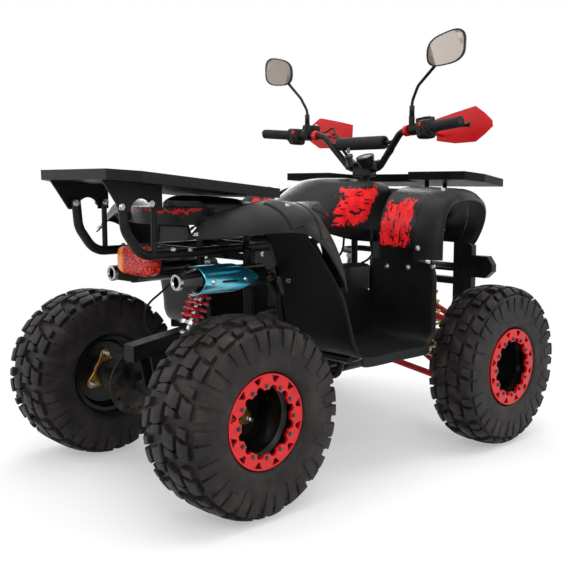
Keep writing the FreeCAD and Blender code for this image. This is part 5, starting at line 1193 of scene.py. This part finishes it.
def tank_row(share, width, top, low, broad):
    """One arch over the tank: its shape goes from the rear arch to the front one."""
    arch = rear_arch + (front_arch - rear_arch) * broad
    foot = tank_low + (tank_top - tank_low) * low
    crown = tank_low + (tank_top - tank_low) * top
    x = tank_half * width * arch[:, 0]
    z = foot + (crown - foot) * arch[:, 1]
    x = np.concatenate([x, -x[-2::-1]])
    z = np.concatenate([z, z[-2::-1]])
    y = tank_back + (tank_front - tank_back) * share
    return [ahead(right, y, height) for right, height in zip(x, z)]


tank_grid = surface(tank_rows, tank_row, 48, 61)
shell("tank_shell", [grid_part(tank_grid)], "tank_cover", tank_wall, slot_of["tank_cover"], tank_paint)
print("tank rows", len(tank_rows), "made into", tank_grid.shape[:2])

# %% [markdown]
# ## Foot wells
# Each foot well is a moulded tray that keeps mud off the rider's legs: a slanted splash wall behind, a
# floor and a front wall with a rolled top. One line seen from the side gives all three, and the sheet runs
# from the engine out to it. An inner wall, a skirt under the edge and an apron in front are sheets of their
# own.

# %% Foot wells
well_inner = 0.171
well_wall = 0.0035
side_from, side_below = 0.262, 0.50  # the inner wall spans the tray ahead of this and under this
skirt_from, skirt_to, skirt_drop = 0.33, 0.61, 0.024
apron_y = 0.650
# distance ahead, height, and how far out the edge lies, from the splash wall's top to the front
well_rows = [(0.222, 0.665, 0.322), (0.245, 0.602, 0.362), (0.266, 0.535, 0.396), (0.284, 0.478, 0.408),
             (0.298, 0.420, 0.414), (0.306, 0.378, 0.420), (0.324, 0.348, 0.422), (0.360, 0.338, 0.422),
             (0.480, 0.338, 0.422), (0.590, 0.338, 0.422), (0.624, 0.348, 0.422), (0.640, 0.378, 0.420),
             (0.642, 0.440, 0.419), (0.643, 0.515, 0.418), (0.644, 0.545, 0.413), (0.644, 0.559, 0.401),
             (0.644, 0.566, 0.375)]
side_tops = [(0.27, 0.515), (0.45, 0.505), (0.60, 0.478), (0.645, 0.468)]


def sheet(x, y, z):
    """A grid from its three coordinates, with y counted ahead of the rear axle."""
    return np.stack(np.broadcast_arrays(x, rear_wheel.y + y, z), -1)


well_line = smooth_line(well_rows, 90)
line_y, line_z, line_x = (well_line[:, k:k + 1] for k in range(3))
across_well = np.linspace(0, 1, 14)[None]
well_sheet = sheet(well_inner + (line_x - well_inner) * across_well, line_y, line_z)

inside = (well_line[:, 0] > side_from) & (well_line[:, 1] < side_below)
side_y, side_z = line_y[inside], line_z[inside]
side_top = np.interp(side_y, *np.array(side_tops).T)
up_side = np.linspace(0, 1, 8)[None]
well_side = sheet(well_inner, side_y, side_z + np.maximum(side_top - side_z, 0.002) * up_side)

under = (well_line[:, 0] > skirt_from) & (well_line[:, 0] < skirt_to)
well_skirt = sheet(line_x[under], line_y[under], line_z[under] - skirt_drop * up_side)

apron_x, apron_z = np.meshgrid(np.linspace(0.176, 0.350, 6), np.linspace(0.50, 0.650, 6))
well_apron = sheet(apron_x, apron_y, apron_z)

well_parts = mirrored([grid_part(grid) for grid in (well_sheet, well_side, well_skirt, well_apron)])
shell("foot_well_sheets", well_parts, "foot_wells", well_wall, slot_of["foot_wells"], offset=0.0)
print("foot well sheets", len(well_parts))

# %% [markdown]
# ## The heat shield
# A thin bent plate keeps the rider's leg off the hot muffler. It is a part of a tube round the muffler's
# axis, so the grid runs round and along, and its two ends are cut by formulas: a notch behind and rounded
# corners in front. Its slot isn't cut: a flat dark lump laid on it is painted shade in place of the opening.

# %% Heat shield
shield_radius = 0.0372
shield_wall = 0.0022
shield_reach = math.radians(108)
shield_start, notch_depth = -0.007, 0.017
shield_end, corner_cut = 0.186, 0.066
round_shield = np.linspace(-1, 1, 41)[:, None]
shield_turn = round_shield * shield_reach
shield_steps = np.linspace(0, 1, 40)[None]
shield_rear = shield_start + notch_depth * (1 - np.abs(round_shield))
shield_front = shield_end - corner_cut * np.abs(np.sin(shield_turn)) ** 1.4
shield_grid = sheet(muffler_x + shield_radius * np.cos(shield_turn),
                    shield_rear + (shield_front - shield_rear) * shield_steps,
                    muffler_z + shield_radius * np.sin(shield_turn))
shell("heat_shield_sheet", [grid_part(shield_grid)], "heat_shield", shield_wall, "shield_teal")
# painted shade: a flat dark lump on the shield stands in for the dark seen through its slot
slot_shade_lump = lump(ahead(0.1875, 0.088, 0.5405), (0.0018, 0.050, 0.0062), 0.4)
new_piece("heat_shield_slot_shade", [slot_shade_lump], "chassis", "black_plastic")
print("heat shield", shield_grid.shape[:2])

# %% [markdown]
# ## The window in the front body
# The front body is moulded round the tank, and its window is wider than the CAD's. A Boolean modifier cuts
# a box out of a merged copy, which keeps the rest of the form, its rolled lips and all.

# %% Front body
copy_sharp = 30.0
window_half, window_back, window_front = 0.245, 0.50, 0.846
cutter_height, cutter_middle = 2.0, 0.7


def widened(name, node, material):
    """A copy of a CAD node with the window cut out of it, over all heights."""
    mesh = nodes[node].data.copy()
    merge(mesh, copy_merge)
    piece = as_piece(name, mesh, "chassis", material, sharp=copy_sharp)
    cutter_mesh = bpy.data.meshes.new("cutter")
    cutter = bpy.data.objects.new("cutter", cutter_mesh)
    scene.collection.objects.link(cutter)
    work = bmesh.new()
    bmesh.ops.create_cube(work, size=1.0)
    work.to_mesh(cutter_mesh)
    work.free()
    cutter.scale = (2 * window_half, window_front - window_back, cutter_height)
    cutter.location = (0, rear_wheel.y + (window_back + window_front) / 2, cutter_middle)
    cut = piece.modifiers.new("window", "BOOLEAN")
    cut.object = cutter
    cut.operation = "DIFFERENCE"
    cut.material_mode = "TRANSFER"
    bpy.context.view_layer.update()
    piece.data = baked(piece)
    piece.modifiers.clear()
    bpy.data.objects.remove(cutter)
    piece.data.set_sharp_from_angle(angle=math.radians(copy_sharp))
    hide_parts(node)
    print(name, len(piece.data.polygons), "faces")
    return piece


widened("front_body", "front_fender", fender_paint)

# %% [markdown]
# ## Mirror heads
# A mirror's outline lies between an ellipse and a rectangle with round corners. The CAD heads are near the
# ellipse, so their points are moved outwards on the diagonals, until the cubes of their two distances from
# the middle, as shares of the half width and half height, add up to 1. The stems stay where they are.

# %% Mirror heads
mirror_x, mirror_z, mirror_wide, mirror_high, mirror_skew = 0.353, 1.170, 0.067, 0.049, 0.2
full_within, none_beyond = 1.1, 1.5  # the change is whole near a head and fades out towards its stem
flattened = 0.06


def squared(name, node, slot):
    """A copy of a CAD node with its mirror heads squared, and a little less high."""
    mesh = nodes[node].data.copy()
    spots = points_of(mesh)
    side = np.sign(spots[:, 0])
    wide = (np.abs(spots[:, 0]) - mirror_x) / mirror_wide
    high = (spots[:, 2] - mirror_z) / mirror_high - mirror_skew * wide
    reach, turn = np.hypot(wide, high), np.arctan2(high, wide)
    swell = (np.abs(np.cos(turn)) ** 3 + np.abs(np.sin(turn)) ** 3) ** (-1 / 3)
    near = np.clip((none_beyond - reach) / (none_beyond - full_within), 0, 1)
    factor = 1 + (swell - 1) * near
    wide, high = wide * factor, high * factor * (1 - flattened * near)
    spots[:, 0] = side * (mirror_x + mirror_wide * wide)
    spots[:, 2] = mirror_z + mirror_high * (high + mirror_skew * wide)
    mesh.vertices.foreach_set("co", spots.ravel())
    merge(mesh, copy_merge)
    piece = as_piece(name, mesh, "steering", finishes[slot], sharp=copy_sharp)
    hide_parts(node)
    return piece


heads = squared("mirror_heads", "mirrors", slot_of["mirrors"])
faces = squared("mirror_faces", "mirror_glass", "mirror_face")
print("points on the heads", len(heads.data.vertices), "and on the glass", len(faces.data.vertices))

# %% [markdown]
# ## Bolts on the bodywork
# The photograph shows bright bolts where the rack's plates hold the tubes, on the foot wells, on the front
# flares and on the heat shield. The engine's side covers have six each. One call throws each at the surface
# behind it, so they sit right whatever the surface's slope.

# %% Body bolts
inward, forward, downward = (-1, 0, 0), (0, 1, 0), (0, 0, -1)
# a node or piece, a start on the right side and the way to throw
rack_spots = [("rear_rack", (0.2, -0.189, 0.733), inward), ("rear_rack", (0.2, -0.105, 0.739), inward),
              ("rack_tubes", (0.115, -0.037, 0.8), downward), ("rack_tubes", (0.119, 0.013, 0.8), downward)]
inner_spots = [("rack_tubes", (0, y, z), (1, 0, 0)) for y, z in ((-0.182, 0.738), (-0.091, 0.739))]
well_starts = [(0.214, 0.1, 0.532), (0.238, 0.5, 0.544), (0.317, 0.5, 0.547), (0.404, 0.5, 0.556)]
body_spots = [("foot_well_sheets", start, forward) for start in well_starts]
body_spots += [("rear_flares", (0.335, 0.1, 0.538), forward),
               ("rear_flares", (0.368, 0.117, 0.85), downward),
               ("rear_flares", (0.222, -0.045, 0.85), downward),
               ("front_flares", (0.383, 0.4, 0.608), forward),
               ("front_flares", (0.391, 0.701, 0.9), downward)]
shield_spots = [("heat_shield_sheet", ahead(0.3, y, 0.541), (-1, 0, 0)) for y in (0.036, 0.140)]
# side, distance ahead and circle of each engine cover's bolts
covers = [(1, 0.511, 0.047), (-1, 0.507, 0.060)]
cover_reach, cover_height = 0.3, 0.330
sixths = np.arange(6) * np.pi / 3 + 0.3


def two_sides(spots):
    """Spots on the right and their mirror images, with starts turned into the object's own frame."""
    right = [(node, ahead(*start), np.array(way, float)) for node, start, way in spots]
    left = [(node, start * (-1, 1, 1), way * (-1, 1, 1)) for node, start, way in right]
    return right + left


cover_spots = []
for side, y, circle in covers:
    for angle in sixths:
        y_bolt, z_bolt = y + circle * math.sin(angle), cover_height + circle * math.cos(angle)
        cover_spots.append(("engine", ahead(side * cover_reach, y_bolt, z_bolt), (-side, 0, 0)))
bolts_on("rack_bolts", two_sides(rack_spots))
bolts_on("rack_tube_bolts", two_sides(inner_spots))
bolts_on("body_bolts", two_sides(body_spots))
bolts_on("shield_bolts", shield_spots, size=0.9)
bolts_on("engine_bolts", cover_spots, size=0.8)

# %% [markdown]
# ## Raised bands on the flares
# Each flare is moulded with bands that stand a little proud and stiffen it. A band is laid on like tape:
# rows of points are thrown at the flare from outside and stay where they land, the row's two edges sink
# into the skin, and the rows in between stand up.

# %% Bands
band_shares = np.array([-0.5, -0.49, -0.38, 0.0, 0.38, 0.49, 0.5])
band_profile = np.array([0.0, 0.8, 1.0, 0.8, 0.0])
band_sink = 0.0015
fan_x, fan_z, fan_reach = 0.30, 0.60, 0.40  # points are thrown at the flare from this circle
fan_angles = np.radians(np.linspace(18, 84, 16))
# node, distance ahead of the band's middle, its width and how proud it stands
flare_bands = [("rear_flares", 0.105, 0.034, 0.0048), ("rear_flares", 0.185, 0.030, 0.0048),
               ("front_flares", 0.720, 0.030, 0.0028), ("front_flares", 0.820, 0.030, 0.0028)]


def band_on(node, y, width, height):
    """A strip over a flare: from each angle round it a row of points goes across the band, each is thrown at
    the flare, and the row's profile lifts it back by up to the height."""
    lift = np.concatenate([[-band_sink], band_profile * height, [-band_sink]])
    rows = []
    for angle in fan_angles:
        start = ahead(fan_x + fan_reach * math.cos(angle), y, fan_z + fan_reach * math.sin(angle))
        way = Vector((-math.cos(angle), 0.0, -math.sin(angle))).normalized()
        across = [start + (0, width * share, 0) for share in band_shares]
        found = [tree_of(node).ray_cast(Vector(spot), way)[0] for spot in across]
        if None not in found:
            rows.append(np.array(found) - np.array(way) * lift[:, None])
    points = np.array(rows)
    ends = [np.repeat(points[k].mean(0)[None], len(band_shares), 0)[None] for k in (0, -1)]
    return grid_part(np.concatenate([ends[0], points, ends[1]]), wrap_columns=True)


band_parts = [band_on(*band) for band in flare_bands]
new_piece("flare_bands", mirrored(band_parts), "chassis", slot_of["rear_flares"], sharp=25)
print("bands", len(band_parts))

# %% [markdown]
# ## Hoses under the tank
# Between the tank and the foot well the photograph shows a dark box beside the engine and thin hoses that
# loop under the tank. The box is a block with round corners, and the hoses are tubes along smooth lines.

# %% Hoses
hose_lines = [[(0.118, 0.500, 0.628), (0.124, 0.520, 0.590), (0.122, 0.552, 0.572), (0.112, 0.585, 0.590),
               (0.104, 0.600, 0.628)],
              [(0.100, 0.470, 0.625), (0.128, 0.480, 0.580), (0.126, 0.500, 0.545), (0.104, 0.540, 0.520)],
              [(0.090, 0.700, 0.640), (0.130, 0.706, 0.600), (0.128, 0.690, 0.560), (0.100, 0.660, 0.535)]]
hose_radius = 0.0035
hose_parts = [tube(smooth_line([ahead(*spot) for spot in line], 26), hose_radius) for line in hose_lines]
new_piece("fuel_hoses", hose_parts, "chassis", "grip_rubber")
side_box = lump(ahead(0.096, 0.640, 0.500), (0.066, 0.132, 0.088), 0.35, 11, 28)
new_piece("engine_side_box", [side_box], "chassis", "black_plastic")
print("hoses", len(hose_parts), "and a box")

# %% [markdown]
# ## Headlamps
# Behind each clear lens is a bright bowl with a small bulb. The bowl is a parabola turned round the lamp's
# own axis, closed at the back, and the glass of the CAD node stays in front of it.

# %% Headlamp bowls
head_low, head_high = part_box("headlamps")
lamp_x = 0.118
glass_gap = 0.004
bowl_place = (lamp_x, head_high.y - glass_gap, (head_low.z + head_high.z) / 2)
bowl_steps = np.linspace(0, 1, 9)
back_depth, back_curve, back_radius = -0.046, 0.036, 0.040
face_depth, face_curve, face_radius = -0.044, 0.034, 0.0385
bowl = [(back_depth + back_curve * d * d, back_radius * d) for d in bowl_steps] + [(-0.0105, face_radius)]
bowl += [(face_depth + face_curve * d * d, face_radius * d) for d in bowl_steps[-2::-1]]
new_piece("headlamp_bowls", both_sides(turned(bowl, bowl_place, (0, 1, 0), 28)), "chassis", "bright_steel")
bulb = [(-0.042, 0), (-0.042, 0.006), (-0.028, 0.007), (-0.016, 0.006), (-0.012, 0.003), (-0.011, 0)]
new_piece("headlamp_bulbs", both_sides(turned(bulb, bowl_place, (0, 1, 0), 14)), "chassis", "lamp_clear")
print("headlamp front", round(head_high.y - rear_wheel.y, 3))
